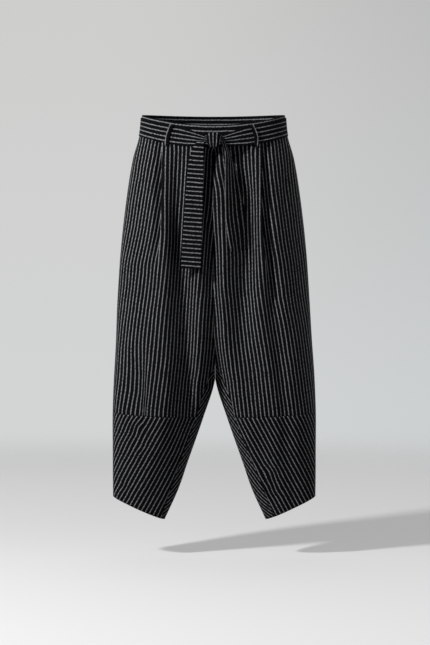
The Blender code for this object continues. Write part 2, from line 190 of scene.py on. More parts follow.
# Ridges and troughs that run down the front, from left to right. Between two of them the cloth
# eases from one depth to the other. Depth is inward, so a ridge that stands proud is below 0.
FRONT_FOLDS = (
    (Fall(-0.046, -0.165, 0.0), Fall(-0.300, -0.200, 0.002), Fall(-0.672, -0.215, 0.0),
     Fall(-0.880, -0.216, 0.0)),
    (Fall(-0.046, -0.145, 0.000), Fall(-0.190, -0.152, 0.000), Fall(-0.300, -0.155, 0.001),
     Fall(-0.420, -0.165, 0.002), Fall(-0.672, -0.190, 0.002), Fall(-0.880, -0.200, 0.001)),
    (Fall(-0.046, -0.106, 0.0), Fall(-0.160, -0.107, -0.004), Fall(-0.275, -0.107, -0.007),
     Fall(-0.410, -0.108, -0.007), Fall(-0.545, -0.108, -0.006), Fall(-0.640, -0.110, -0.006),
     Fall(-0.700, -0.120, -0.005), Fall(-0.760, -0.134, -0.003), Fall(-0.880, -0.170, -0.001)),
    (Fall(-0.046, -0.082, 0.001), Fall(-0.160, -0.079, 0.014), Fall(-0.275, -0.075, 0.026),
     Fall(-0.410, -0.064, 0.028), Fall(-0.477, -0.062, 0.027), Fall(-0.545, -0.059, 0.026),
     Fall(-0.612, -0.056, 0.025), Fall(-0.700, -0.062, 0.018), Fall(-0.760, -0.082, 0.008),
     Fall(-0.880, -0.124, 0.001)),
    (Fall(-0.046, -0.040, 0.0), Fall(-0.160, -0.036, 0.001), Fall(-0.275, -0.033, 0.003),
     Fall(-0.410, -0.030, 0.002), Fall(-0.545, -0.033, 0.003), Fall(-0.620, -0.036, 0.006),
     Fall(-0.700, -0.036, 0.012), Fall(-0.880, -0.110, 0.002)),
    (Fall(-0.046, 0.000, 0.034), Fall(-0.090, -0.002, 0.032), Fall(-0.125, -0.008, 0.024),
     Fall(-0.162, -0.014, 0.019), Fall(-0.207, -0.020, 0.018), Fall(-0.275, -0.006, 0.023),
     Fall(-0.342, -0.001, 0.026), Fall(-0.410, 0.003, 0.022), Fall(-0.477, 0.001, 0.019),
     Fall(-0.560, 0.000, 0.018), Fall(-0.620, 0.000, 0.010), Fall(-0.880, 0.000, 0.0)),
    (Fall(-0.046, 0.020, 0.022), Fall(-0.095, 0.017, 0.017), Fall(-0.125, 0.015, 0.013),
     Fall(-0.162, 0.014, 0.007), Fall(-0.207, 0.020, 0.005), Fall(-0.275, 0.026, 0.005),
     Fall(-0.342, 0.024, 0.005), Fall(-0.410, 0.023, 0.005), Fall(-0.477, 0.025, 0.003),
     Fall(-0.560, 0.036, 0.003), Fall(-0.620, 0.050, 0.002), Fall(-0.880, 0.118, 0.0)),
    (Fall(-0.046, 0.046, 0.020), Fall(-0.085, 0.056, 0.020), Fall(-0.117, 0.064, 0.021),
     Fall(-0.162, 0.071, 0.026), Fall(-0.207, 0.079, 0.028), Fall(-0.275, 0.079, 0.029),
     Fall(-0.342, 0.070, 0.028), Fall(-0.410, 0.064, 0.024), Fall(-0.477, 0.061, 0.016),
     Fall(-0.545, 0.062, 0.010), Fall(-0.620, 0.074, 0.005), Fall(-0.760, 0.100, 0.004),
     Fall(-0.880, 0.135, 0.001)),
    (Fall(-0.046, 0.100, 0.0), Fall(-0.162, 0.106, -0.004), Fall(-0.275, 0.110, -0.006),
     Fall(-0.410, 0.110, -0.006), Fall(-0.477, 0.110, -0.005), Fall(-0.545, 0.118, -0.005),
     Fall(-0.640, 0.132, -0.003), Fall(-0.760, 0.140, -0.002), Fall(-0.880, 0.160, 0.0)),
    (Fall(-0.046, 0.120, 0.0), Fall(-0.207, 0.121, 0.001), Fall(-0.275, 0.124, 0.003),
     Fall(-0.342, 0.1265, 0.006), Fall(-0.410, 0.134, 0.007), Fall(-0.477, 0.139, 0.006),
     Fall(-0.545, 0.145, 0.006), Fall(-0.612, 0.152, 0.006), Fall(-0.672, 0.156, 0.004),
     Fall(-0.760, 0.166, 0.003), Fall(-0.880, 0.180, 0.001)),
    (Fall(-0.046, 0.140, 0.0), Fall(-0.207, 0.142, -0.002), Fall(-0.275, 0.144, -0.003),
     Fall(-0.342, 0.150, -0.004), Fall(-0.410, 0.156, -0.003), Fall(-0.640, 0.178, -0.001),
     Fall(-0.880, 0.200, 0.0)),
    (Fall(-0.046, 0.165, 0.0), Fall(-0.300, 0.200, 0.002), Fall(-0.672, 0.215, 0.0),
     Fall(-0.880, 0.216, 0.0)),
)
BACK_FOLDS = (
    (Fall(-0.046, -0.165, 0.0), Fall(-0.300, -0.200, 0.001), Fall(-0.880, -0.216, 0.0)),
    (Fall(-0.046, -0.125, 0.002), Fall(-0.250, -0.140, 0.008), Fall(-0.420, -0.146, 0.011),
     Fall(-0.640, -0.150, 0.008), Fall(-0.880, -0.175, 0.002)),
    (Fall(-0.046, -0.092, 0.0), Fall(-0.250, -0.100, -0.003), Fall(-0.420, -0.104, -0.004),
     Fall(-0.640, -0.112, -0.003), Fall(-0.880, -0.150, 0.0)),
    (Fall(-0.046, -0.060, 0.002), Fall(-0.250, -0.066, 0.009), Fall(-0.420, -0.070, 0.015),
     Fall(-0.640, -0.082, 0.010), Fall(-0.880, -0.130, 0.001)),
    (Fall(-0.046, -0.024, 0.0), Fall(-0.250, -0.030, 0.001), Fall(-0.420, -0.030, 0.002),
     Fall(-0.640, -0.056, 0.001), Fall(-0.880, -0.115, 0.0)),
    (Fall(-0.046, 0.000, 0.001), Fall(-0.250, -0.001, 0.005), Fall(-0.420, 0.001, 0.010),
     Fall(-0.540, 0.000, 0.009), Fall(-0.640, 0.000, 0.004), Fall(-0.880, 0.000, 0.0)),
    (Fall(-0.046, 0.026, 0.0), Fall(-0.250, 0.028, 0.000), Fall(-0.420, 0.034, 0.001),
     Fall(-0.640, 0.058, 0.001), Fall(-0.880, 0.115, 0.0)),
    (Fall(-0.046, 0.058, 0.002), Fall(-0.250, 0.070, 0.011), Fall(-0.420, 0.076, 0.014),
     Fall(-0.640, 0.084, 0.008), Fall(-0.880, 0.132, 0.001)),
    (Fall(-0.046, 0.090, 0.0), Fall(-0.250, 0.106, -0.003), Fall(-0.420, 0.112, -0.003),
     Fall(-0.640, 0.120, -0.003), Fall(-0.880, 0.152, 0.0)),
    (Fall(-0.046, 0.130, 0.001), Fall(-0.250, 0.146, 0.006), Fall(-0.420, 0.156, 0.009),
     Fall(-0.640, 0.160, 0.010), Fall(-0.880, 0.178, 0.002)),
    (Fall(-0.046, 0.165, 0.0), Fall(-0.300, 0.200, 0.001), Fall(-0.880, 0.216, 0.0)),
)

# How much deeper than its folded edge the cloth outside a pleat lies, by height
PLEAT_TROUGH = {
    Side.LEFT: (
        Mark(-0.046, 0.0030), Mark(-0.090, 0.0085), Mark(-0.160, 0.0110), Mark(-0.250, 0.0090),
        Mark(-0.340, 0.0020), Mark(-0.400, 0.0000),
    ),
    Side.RIGHT: (
        Mark(-0.046, 0.0040), Mark(-0.100, 0.0085), Mark(-0.200, 0.0120), Mark(-0.280, 0.0100),
        Mark(-0.380, 0.0020), Mark(-0.430, 0.0000),
    ),
}

# How far out from its folded edge the cloth outside a pleat comes up again
PLEAT_OPEN = {Side.LEFT: 0.020, Side.RIGHT: 0.030}


class Ripple(NamedTuple):
    """A slight wave of worn cloth: its height, its turns across and down in radians a metre, and
    where it starts on the front and on the back."""

    height: float
    across: float
    down: float
    front_start: float
    back_start: float


RIPPLES = (
    Ripple(0.0006, 71, 19, 0.0, 1.3),
    Ripple(0.0005, -43, 37, 2.1, 3.4),
    Ripple(0.0004, 118, -27, 0.7, 0.7),
)


class Pull(NamedTuple):
    """A place on a lower front panel where the cloth is pulled aside, and by how much."""

    side: Side
    x: float
    z: float
    spread: float
    amount: float


PULLS = (
    Pull(Side.LEFT, 0.172, -0.694, 0.026, -0.0040),
    Pull(Side.LEFT, 0.160, -0.738, 0.022, 0.0022),
    Pull(Side.LEFT, 0.205, -0.830, 0.022, 0.0022),
    Pull(Side.RIGHT, 0.128, -0.797, 0.028, -0.0042),
    Pull(Side.RIGHT, 0.140, -0.842, 0.022, 0.0024),
    Pull(Side.RIGHT, 0.200, -0.730, 0.024, 0.0016),
)


class Tuck(NamedTuple):
    """A line down a front panel toward which the cloth outside it is drawn in, so that stripes
    meet there in a V: how far out it lies, the height from which the full amount is drawn in and
    the length above it over which that grows, and how sharply it starts and how far out it ends."""

    side: Side
    x: float
    z: float
    run_in: float
    reach: float
    spread: float
    amount: float


TUCKS = (
    Tuck(Side.LEFT, 0.1535, -0.622, 0.130, 0.006, 0.110, 0.0140),
)


class Crease(NamedTuple):
    """A short soft fold on one face: a bent line, how wide it spreads and how deep it is."""

    face: Face
    start: tuple[float, float]
    bend: tuple[float, float]
    stop: tuple[float, float]
    spread: float
    depth: float


CREASES = (
    Crease(Face.FRONT, (-0.1515, -0.505), (-0.1525, -0.590), (-0.1500, -0.675), 0.012, 0.0030),
    Crease(Face.FRONT, (-0.190, -0.680), (-0.165, -0.705), (-0.180, -0.760), 0.012, 0.0045),
    Crease(Face.FRONT, (-0.165, -0.700), (-0.185, -0.735), (-0.160, -0.790), 0.012, -0.0035),
    Crease(Face.FRONT, (0.118, -0.780), (0.142, -0.805), (0.128, -0.850), 0.011, 0.0035),
    Crease(Face.FRONT, (0.140, -0.760), (0.118, -0.800), (0.150, -0.845), 0.011, -0.0028),
    Crease(Face.FRONT, (0.170, -0.090), (0.150, -0.170), (0.160, -0.260), 0.014, 0.0030),
    Crease(Face.FRONT, (-0.165, -0.100), (-0.150, -0.160), (-0.165, -0.240), 0.014, 0.0025),
    Crease(Face.BACK, (-0.150, -0.540), (-0.120, -0.590), (-0.140, -0.660), 0.016, 0.0035),
    Crease(Face.BACK, (0.080, -0.560), (0.110, -0.600), (0.095, -0.680), 0.016, 0.0035),
    Crease(Face.BACK, (0.020, -0.470), (0.060, -0.520), (0.120, -0.540), 0.014, 0.0030),
    Crease(Face.BACK, (-0.020, -0.480), (-0.055, -0.525), (-0.105, -0.550), 0.014, 0.0030),
)


def smooth(part: Array) -> Array:
    """Ease a part from 0 to 1 in and out."""
    part = np.clip(part, 0.0, 1.0)
    return part * part * (3 - 2 * part)


def hump(part: Array) -> Array:
    """Give a soft hump that is 1 at part 0 and has died away at part 1."""
    return np.cos(np.clip(part, 0, 1) * math.pi / 2) ** 2


class SmoothLine:
    """A smooth line through the rows of a table, read at any height."""

    def __init__(self, heights: list[float], values: list[float]) -> None:
        """Sort the rows and take each one's slope from the rows on both sides of it.

        Args:
            heights: The heights of the rows.
            values: The value at each height.
        """
        order = np.argsort(heights)
        self.heights = np.asarray(heights, float)[order]
        self.values = np.asarray(values, float)[order]
        before = np.maximum(np.arange(len(order)) - 1, 0)
        after = np.minimum(np.arange(len(order)) + 1, len(order) - 1)
        rise = self.values[after] - self.values[before]
        self.slopes = rise / (self.heights[after] - self.heights[before])

    def __call__(self, height: Array) -> Array:
        """Read the line.

        Args:
            height: Where to read it, held to the ends of the table.

        Returns:
            The values there, in the same shape.
        """
        spot = np.clip(height, self.heights[0], self.heights[-1])
        low = np.clip(np.searchsorted(self.heights, spot) - 1, 0, len(self.heights) - 2)
        span = self.heights[low + 1] - self.heights[low]
        part = (spot - self.heights[low]) / span
        return (
            self.values[low] * (2 * part**3 - 3 * part**2 + 1)
            + self.slopes[low] * span * (part**3 - 2 * part**2 + part)
            + self.values[low + 1] * (3 * part**2 - 2 * part**3)
            + self.slopes[low + 1] * span * (part**3 - part**2)
        )


def mark_line(marks: tuple[Mark, ...]) -> SmoothLine:
    """Make a smooth line from marks of a cut."""
    return SmoothLine([mark.height for mark in marks], [mark.across for mark in marks])


class Form:
    """The filled-out form that every panel lies on: a rounded section at each height."""

    def __init__(self, sections: tuple[Section, ...]) -> None:
        """Draw a smooth line down each column of the table of sections."""
        heights = [section.height for section in sections]
        self.lines = {
            name: SmoothLine(heights, [getattr(section, name) for section in sections])
            for name in Section._fields[1:]
        }

    def read(self, name: str, height: Array) -> Array:
        """Read one column of the sections at some heights."""
        return self.lines[name](height)

    def centre_and_half(self, height: Array) -> tuple[Array, Array]:
        """Give the middle and half width of the section, which is a loop round one leg below the
        crotch and is cut off at the middle of the garment above it.

        Args:
            height: Heights at the side seam.

        Returns:
            How far out the middle lies, and half the width.
        """
        width, inner = self.read("width", height), self.read("inner", height)
        pinch = np.clip((CURVE_TOP - height) / (CURVE_TOP - CROTCH), 0, 1)
        half = np.where(height <= CROTCH, (width - inner) / 2, width / (1 + pinch))
        return np.where(height <= CROTCH, inner + half, pinch * half), half

    def fall(self, height: Array, x: Array, face_drop: Array) -> Array:
        """Give how far a ring has fallen from its side height.

        Args:
            height: The ring's heights at the side seam.
            x: How far out to read it.
            face_drop: Its full fall, at the inner end.

        Returns:
            The falls, in the same shape.
        """
        width, inner = self.read("width", height), self.read("inner", height)
        bow = self.read("bow", height)
        part = (width - x) / (width - inner)
        return face_drop * ((1 + bow) * part - bow * part * part)

    def drop(self, height: Array, front: Array) -> Array:
        """Give the full fall of a ring, on the front or the back."""
        return np.where(front, self.read("drop_front", height), self.read("drop_back", height))

    def point(self, height: Array, angle: Array) -> Array:
        """Give points of the form on the right leg.

        Args:
            height: Heights at the side seam.
            angle: 0 at the side seam, a quarter turn at the front, half a turn at the inner leg.

        Returns:
            The points, with x, y and z along the last axis.
        """
        centre, half = self.centre_and_half(height)
        square = self.read("square", height)
        across, along = np.cos(angle), np.sin(angle)
        reach = (np.abs(across) ** square + np.abs(along) ** square) ** (-1 / square)
        x = centre + half * reach * across
        front = along > 0
        depth = np.where(front, self.read("front", height), self.read("back", height))
        z = height - self.fall(height, x, self.drop(height, front))
        return np.stack(np.broadcast_arrays(x, -depth * reach * along, z), axis=-1)

    def normal(self, height: Array, angle: Array) -> Array:
        """Give the outward direction of the form at points of the right leg.

        Args:
            height: Heights at the side seam.
            angle: Angles round the section, as in point.

        Returns:
            Unit vectors along the last axis.
        """
        step = 0.0005
        high = np.minimum(height + step, 0.0)
        low = np.maximum(height - step, HEM)
        round_way = self.point(height, angle + step) - self.point(height, angle - step)
        up_way = self.point(high, angle) - self.point(low, angle)
        normal = np.cross(up_way, round_way)
        return normal / np.linalg.norm(normal, axis=-1, keepdims=True)

    def angle_at(self, height: Array, x: Array, face: Face) -> Array:
        """Find the angle round the section where one face lies a distance out.

        Args:
            height: Heights at the side seam.
            x: The distances out from the middle.
            face: The front or the back.

        Returns:
            The angles, as point takes them.
        """
        centre, half = self.centre_and_half(height)
        square = self.read("square", height)
        across = np.clip((x - centre) / half, -1, 1)
        along = (1 - np.abs(across) ** square) ** (1 / square)
        angle = np.arctan2(along, across)
        return angle if face is Face.FRONT else math.tau - angle

    def level(self, z: Array, x: Array, face: Face) -> Array:
        """Find the ring that has fallen to a level place.

        Args:
            z: The heights of the places.
            x: How far out they lie.
            face: The front or the back.

        Returns:
            The rings' heights at the side seam.
        """
        height = z
        for _ in range(3):
            row = np.clip(height, HEM, 0)
            height = z + self.fall(row, x, self.drop(row, np.asarray(face is Face.FRONT)))
        return height


class Relief:
    """The folds of one face, as a depth inward at any place on it."""

    # toward the side seam and the inner edge the folds fade out over this part of the depth
    edge = 0.30
    # two lines never count as closer than this
    narrowest = 0.004
    # the stretches between two lines, counted from 0 at the left, that the cloth crosses nearly
    # straight instead of easing in and out, and how straight
    straight = {Face.FRONT: (2, 6), Face.BACK: ()}
    tautness = 0.6
    # the waist seam holds the cloth flat this far down, and lets it go over this length
    held = 0.002
    let_go = 0.038
    # a crease is followed in this many straight steps, and is this shallow at its ends
    crease_steps = 12
    crease_end = 0.02

    def __init__(self, face: Face, folds: tuple[tuple[Fall, ...], ...]) -> None:
        """Draw the ridges and troughs and take the creases of this face.

        Args:
            face: The front or the back.
            folds: Its ridges and troughs, from left to right.
        """
        self.face = face
        self.across = [SmoothLine([f.height for f in line], [f.across for f in line]) for line in folds]
        self.depths = [SmoothLine([f.height for f in line], [f.depth for f in line]) for line in folds]
        self.creases = [crease for crease in CREASES if crease.face is face]

    def depth(self, x: Array, z: Array) -> Array:
        """Give how deep the cloth lies inward.

        Args:
            x: Distances across, signed, in metres.
            z: Heights.

        Returns:
            The depths, in the same shape.
        """
        total = np.zeros_like(x)
        for index in range(len(self.across) - 1):
            start, stop = self.across[index](z), self.across[index + 1](z)
            part = (x - start) / np.maximum(stop - start, self.narrowest)
            first, last = self.depths[index](z), self.depths[index + 1](z)
            inside = (x >= start) & (x < stop)
            ease = smooth(part)
            if index in self.straight[self.face]:
                ease = (1 - self.tautness) * ease + self.tautness * part
            total = np.where(inside, first + (last - first) * ease, total)
        for crease in self.creases:
            total = total + self.crease_depth(crease, x, z)
        total = total + self.ripple(x, z)
        return total * smooth((BAND_BOTTOM - self.held - z) / self.let_go)

    def crease_depth(self, crease: Crease, x: Array, z: Array) -> Array:
        """Give the depth of one short crease, which is deepest at its middle.

        Args:
            crease: The crease.
            x: Distances across, signed, in metres.
            z: Heights.

        Returns:
            The depths inward, in the same shape.
        """
        nearest = np.full(x.shape, 1.0)
        along = np.zeros(x.shape)
        parts = np.linspace(0, 1, self.crease_steps + 1)[:, None]
        start, bend, stop = (np.array(spot) for spot in (crease.start, crease.bend, crease.stop))
        line = (1 - parts) ** 2 * start + 2 * parts * (1 - parts) * bend + parts**2 * stop
        for index, (low, high) in enumerate(zip(line[:-1], line[1:])):
            way = high - low
            step = np.clip(((x - low[0]) * way[0] + (z - low[1]) * way[1]) / (way @ way), 0, 1)
            away = np.hypot(x - low[0] - step * way[0], z - low[1] - step * way[1])
            along = np.where(away < nearest, (index + step) / self.crease_steps, along)
            nearest = np.minimum(nearest, away)
        hill = hump(nearest / crease.spread)
        along = np.clip(along, self.crease_end, 1 - self.crease_end)
        return crease.depth * hill * np.sin(math.pi * along)

    def ripple(self, x: Array, z: Array) -> Array:
        """Give the slight unevenness of worn cloth, a few waves that never repeat together.

        Args:
            x: Distances across, signed, in metres.
            z: Heights.

        Returns:
            The depths inward, in the same shape.
        """
        total = np.zeros_like(x)
        for wave in RIPPLES:
            start = wave.back_start if self.face is Face.BACK else wave.front_start
            total = total + wave.height * np.sin(wave.across * x + wave.down * z + start)
        return total

    def seen_depth(self, side: Side, point: Array, angle: Array) -> Array:
        """Give the depth at points of one leg, faded out toward its side seam and inner edge."""
        hold = smooth(np.abs(np.sin(angle)) / self.edge)
        return self.depth(side.value * point[..., 0], point[..., 2]) * hold


class Grain:
    """The distance across the warp at any place of one face, measured along the folded cloth."""

    rows = 170
    columns = 260
    lowest = -0.912
    highest = -0.030
    # seen from the front, the stripes of the front never look closer together than this part of
    # their real spacing, and the cloth between them never counts for less than this part of itself
    closest = {Side.LEFT: 0.74, Side.RIGHT: 0.66}
    least = 0.76
    # a place is read at least this many rows and columns short of their count, inside the last cell
    margin = 1.001

    def __init__(self, form: Form, relief: Relief, side: Side, line: SmoothLine) -> None:
        """Measure the cloth along level lines, from the thread that the panel hangs by.

        Args:
            form: The form that the cloth lies on.
            relief: The folds of the face.
            side: Which side of the garment.
            line: How far out the thread lies at each height.
        """
        self.face = relief.face
        self.levels = np.linspace(self.lowest, self.highest, self.rows)
        z = self.levels[:, None]
        turns = np.linspace(0, math.pi, self.columns)[None, :]
        angles = turns + 0 * z if self.face is Face.FRONT else math.tau - turns + 0 * z
        heights = np.clip(z, HEM, 0) + 0 * angles
        for _ in range(3):
            x = form.point(np.clip(heights, HEM, 0), angles)[..., 0]
            heights = form.level(z + 0 * angles, x, self.face)
        points = form.point(np.clip(heights, HEM, 0), angles)
        points[..., 1] -= self.face.value * relief.seen_depth(side, points, angles)
        flat = np.abs(np.diff(points[..., 0], axis=1))
        steps = np.hypot(flat, np.diff(points[..., 1], axis=1))
        if self.face is Face.FRONT:
            steps = np.maximum(np.minimum(steps, flat / self.closest[side]), self.least * steps)
        run = -np.concatenate((np.zeros((self.rows, 1)), np.cumsum(steps, axis=1)), axis=1)
        thread = line(self.levels)
        zero = [np.interp(thread[i], points[i, ::-1, 0], run[i, ::-1]) for i in range(self.rows)]
        self.run = run - np.array(zero)[:, None]

    def read(self, z: Array, angle: Array) -> Array:
        """Read the distance across the warp at points of the face.

        Args:
            z: Heights of the points.
            angle: Their angles round the section.

        Returns:
            The distances, above 0 outward of the thread that the panel hangs by.
        """
        turn = angle if self.face is Face.FRONT else math.tau - angle
        pitch = self.levels[1] - self.levels[0]
        row = np.clip((z - self.levels[0]) / pitch, 0, self.rows - self.margin)
        column = np.clip(turn / math.pi * (self.columns - 1), 0, self.columns - self.margin)
        low, left = row.astype(int), column.astype(int)
        up, over = row - low, column - left
        near = self.run[low, left] * (1 - over) + self.run[low, left + 1] * over
        far = self.run[low + 1, left] * (1 - over) + self.run[low + 1, left + 1] * over
        return near * (1 - up) + far * up


def srgb(code: str) -> tuple[float, float, float, float]:
    """Turn a hex colour into a linear one.

    Args:
        code: The colour, such as #1A2B3C.

    Returns:
        Red, green, blue and alpha, linear.
    """
    parts = [int(code[place:place + 2], 16) / 255 for place in (1, 3, 5)]
    linear = [p / 12.92 if p <= 0.04045 else ((p + 0.055) / 1.055) ** 2.4 for p in parts]
    return (*linear, 1.0)


def node(tree: bpy.types.NodeTree, kind: str, settings: dict, inputs: dict) -> bpy.types.Node:
    """Add a node, set its properties, and fill or link its inputs.

    Args:
        tree: The material's node tree.
        kind: The node's type name.
        settings: Properties by name.
        inputs: Values or output sockets, by the name or index of the input.

    Returns:
        The node.
    """
    made = tree.nodes.new(kind)
    for name, value in settings.items():
        setattr(made, name, value)
    for key, value in inputs.items():
        if isinstance(value, bpy.types.NodeSocket):
            tree.links.new(value, made.inputs[key])
        else:
            made.inputs[key].default_value = value
    return made


class Fade(NamedTuple):
    """A level that goes from first to last between two places."""

    start: float
    stop: float
    first: float
    last: float

    def along(self, socket: bpy.types.NodeSocket) -> dict:
        """Give the inputs that read the fade from a socket."""
        return dict(enumerate((socket, *self)))


@dataclass(frozen=True)
class WorstedSuiting:
    """Worsted wool suiting, woven in a twill and left with a soft face: near black, with a light
    pinstripe in the warp. To the eye it is matt, with a faint nap at grazing angles, and the
    stripes are rows of short slanted floats, not solid lines."""

    name: str
    ground: str = "#060607"
    fleck: str = "#1D1F21"
    stripe: str = "#9A9DA0"
    pitch: float = STRIPE_PITCH
    stripe_width: float = 0.0019
    stripe_edge: float = 0.0005
    # the real diagonal repeats every 1 mm and is drawn at 5 mm, the finest that still shows
    twill: float = 0.0052
    twill_slant: float = 0.62
    roughness: float = 0.82
    gloss: float = 0.04
    nap: float = 0.015
    nap_roughness: float = 0.5
    # each stripe strays this far in all from its line, in swells this many to the metre
    stray: float = 0.0014
    swells: float = 38.0
    # how bright the floats of a stripe are, from their ends to their middles, and how much the
    # slubs of the yarn vary that: this many to the metre, and so much longer than wide
    floats: tuple[float, float] = (0.60, 1.42)
    slubs: float = 240.0
    slub_range: tuple[float, float] = (0.40, 1.34)
    slub_squeeze: float = 0.85
    # how rough their noise is, and its values where the yarn is thinnest and fullest
    slub_rough: float = 0.6
    slub_noise: tuple[float, float] = (0.3, 0.7)
    # how far the weave stands up, how strongly that shows, and the stripe's share of it
    relief: float = 0.0004
    relief_strength: float = 0.35
    stripe_relief: float = 0.5

    def make(self) -> bpy.types.Material:
        """Build the material, which reads the warp and weft distances from the grain map.

        Returns:
            The material.
        """
        material = bpy.data.materials.new(self.name)
        material.use_nodes = True
        tree = material.node_tree
        shader = tree.nodes["Principled BSDF"]
        grain = node(tree, "ShaderNodeUVMap", {"uv_map": "grain"}, {})
        split = node(tree, "ShaderNodeSeparateXYZ", {}, {0: grain.outputs[0]})
        across, along = split.outputs[0], split.outputs[1]
        wander = node(tree, "ShaderNodeTexNoise", {"noise_dimensions": "2D"},
                      {"Vector": grain.outputs[0], "Scale": self.swells, "Detail": 2.0})
        shift = node(tree, "ShaderNodeMath", {"operation": "MULTIPLY_ADD"},
                     {0: wander.outputs[0], 1: self.stray, 2: -self.stray / 2})
        warped = node(tree, "ShaderNodeMath", {"operation": "ADD"}, {0: across, 1: shift.outputs[0]})
        away = node(tree, "ShaderNodeMath", {"operation": "PINGPONG"},
                    {0: warped.outputs[0], 1: self.pitch / 2})
        half, edge = self.stripe_width / 2, self.stripe_edge
        stripe = node(tree, "ShaderNodeMapRange", {"interpolation_type": "SMOOTHSTEP"},
                      Fade(half - edge, half + edge, 1.0, 0.0).along(away.outputs[0]))
        slub_long = node(tree, "ShaderNodeMath", {"operation": "MULTIPLY"},
                         {0: along, 1: self.slub_squeeze})
        slub_place = node(tree, "ShaderNodeCombineXYZ", {}, {0: across, 1: slub_long.outputs[0], 2: 0.0})
        slub = node(tree, "ShaderNodeTexNoise", {"noise_dimensions": "2D"},
                    {"Vector": slub_place.outputs[0], "Scale": self.slubs, "Detail": 2.0,
                     "Roughness": self.slub_rough})
        light = node(tree, "ShaderNodeMapRange", {},
                     Fade(*self.slub_noise, *self.slub_range).along(slub.outputs[0]))
        slanted = node(tree, "ShaderNodeMath", {"operation": "MULTIPLY_ADD"},
                       {0: along, 1: self.twill_slant, 2: across})
        turns = node(tree, "ShaderNodeMath", {"operation": "MULTIPLY"},
                     {0: slanted.outputs[0], 1: math.tau / self.twill})
        rib = node(tree, "ShaderNodeMath", {"operation": "SINE"}, {0: turns.outputs[0]})
        rib_part = node(tree, "ShaderNodeMapRange", {},
                        Fade(-1.0, 1.0, 0.0, 1.0).along(rib.outputs[0]))
        broken = node(tree, "ShaderNodeMath", {"operation": "MULTIPLY"},
                      {0: rib_part.outputs[0], 1: slub.outputs[0]})
        ground = node(tree, "ShaderNodeMix", {"data_type": "RGBA"},
                      {"Factor": broken.outputs[0], 6: srgb(self.ground), 7: srgb(self.fleck)})
        float_part = node(tree, "ShaderNodeMapRange", {},
                          Fade(-1.0, 1.0, *self.floats).along(rib.outputs[0]))
        float_light = node(tree, "ShaderNodeMath", {"operation": "MULTIPLY"},
                           {0: light.outputs[0], 1: float_part.outputs[0]})
        strength = node(tree, "ShaderNodeMath", {"operation": "MULTIPLY"},
                        {0: stripe.outputs[0], 1: float_light.outputs[0]})
        colour = node(tree, "ShaderNodeMix", {"data_type": "RGBA"},
                      {"Factor": strength.outputs[0], 6: ground.outputs[2], 7: srgb(self.stripe)})
        relief = node(tree, "ShaderNodeMath", {"operation": "MULTIPLY_ADD"},
                      {0: stripe.outputs[0], 1: self.stripe_relief, 2: broken.outputs[0]})
        bump = node(tree, "ShaderNodeBump", {}, {"Strength": self.relief_strength,
                                                 "Distance": self.relief, "Height": relief.outputs[0]})
        tree.links.new(colour.outputs[2], shader.inputs["Base Color"])
        tree.links.new(bump.outputs[0], shader.inputs["Normal"])
        shader.inputs["Roughness"].default_value = self.roughness
        shader.inputs["Specular IOR Level"].default_value = self.gloss
        shader.inputs["Sheen Weight"].default_value = self.nap
        shader.inputs["Sheen Roughness"].default_value = self.nap_roughness
        return material


class Fabric:
    """The cloth of one piece, put together from grids of points with the grain at each."""

    def __init__(self) -> None:
        """Start with no cloth."""
        self.points: list[Array] = []
        self.grain: list[Array] = []
        self.faces: list[tuple[int, ...]] = []
        self.count = 0

    def add(self, points: Array, across: Array, along: Array, keep: Array | None = None,
            flip: bool = False, closed: bool = False) -> None:
        """Add a grid of cloth.

        Args:
            points: Rows by columns by x, y and z.
            across: The distance across the warp at each point.
            along: The distance along the warp at each point.
            keep: Which cells between the rows and columns have cloth, or None for all.
            flip: Whether the faces are turned over.
            closed: Whether the last column joins the first.
        """
        rows, columns = points.shape[:2]
        index = np.arange(rows * columns).reshape(rows, columns) + self.count
        if closed:
            index = np.concatenate((index, index[:, :1]), axis=1)
        quads = np.stack((index[:-1, :-1], index[:-1, 1:], index[1:, 1:], index[1:, :-1]), axis=-1)
        if keep is not None:
            quads = quads[keep]
        quads = quads.reshape(-1, 4)
        if flip:
            quads = quads[:, ::-1]
        self.faces += quads.tolist()
        self.points.append(points.reshape(-1, 3))
        self.grain.append(np.stack(np.broadcast_arrays(across, along), axis=-1).reshape(-1, 2))
        self.count += rows * columns

    def make(self, name: str, material: bpy.types.Material, wall: float = 0.0,
             seam: float | None = None) -> bpy.types.Object:
        """Make the piece's object.

        Args:
            name: The object's name.
            material: Its finish.
            wall: The thickness given to an open sheet, inward, or 0 for a closed shell.
            seam: For a closed grid, the jump of the grain at its joint.

        Returns:
            The object, linked into the scene.
        """
        points = np.concatenate(self.points)
        grain = np.concatenate(self.grain)
        mesh = bpy.data.meshes.new(name)
        mesh.from_pydata(points.tolist(), [], self.faces)
        layer = mesh.uv_layers.new(name="grain")
        corners = np.empty(len(mesh.loops), dtype=np.int32)
        mesh.loops.foreach_get("vertex_index", corners)
        values = grain[corners]
        if seam is not None:
            values = values.reshape(-1, 4, 2)
            highest = values[..., 1].max(axis=1, keepdims=True)
            wrapped = (highest - values[..., 1]) > seam / 2
            values[..., 1] += np.where(wrapped, seam, 0.0)
            values = values.reshape(-1, 2)
        layer.data.foreach_set("uv", values.astype(np.float32).ravel())
        bm = bmesh.new()
        bm.from_mesh(mesh)
        bmesh.ops.remove_doubles(bm, verts=bm.verts, dist=WELD)
        loose = [vert for vert in bm.verts if not vert.link_faces]
        bmesh.ops.delete(bm, geom=loose, context="VERTS")
        bm.to_mesh(mesh)
        bm.free()
        mesh.materials.append(material)
        mesh.shade_smooth()
        obj = bpy.data.objects.new(name, mesh)
        bpy.context.scene.collection.objects.link(obj)
        if wall:
            solid = obj.modifiers.new("Cloth", "SOLIDIFY")
            solid.thickness = wall
            solid.offset = -1.0
            solid.use_rim = True
        return obj


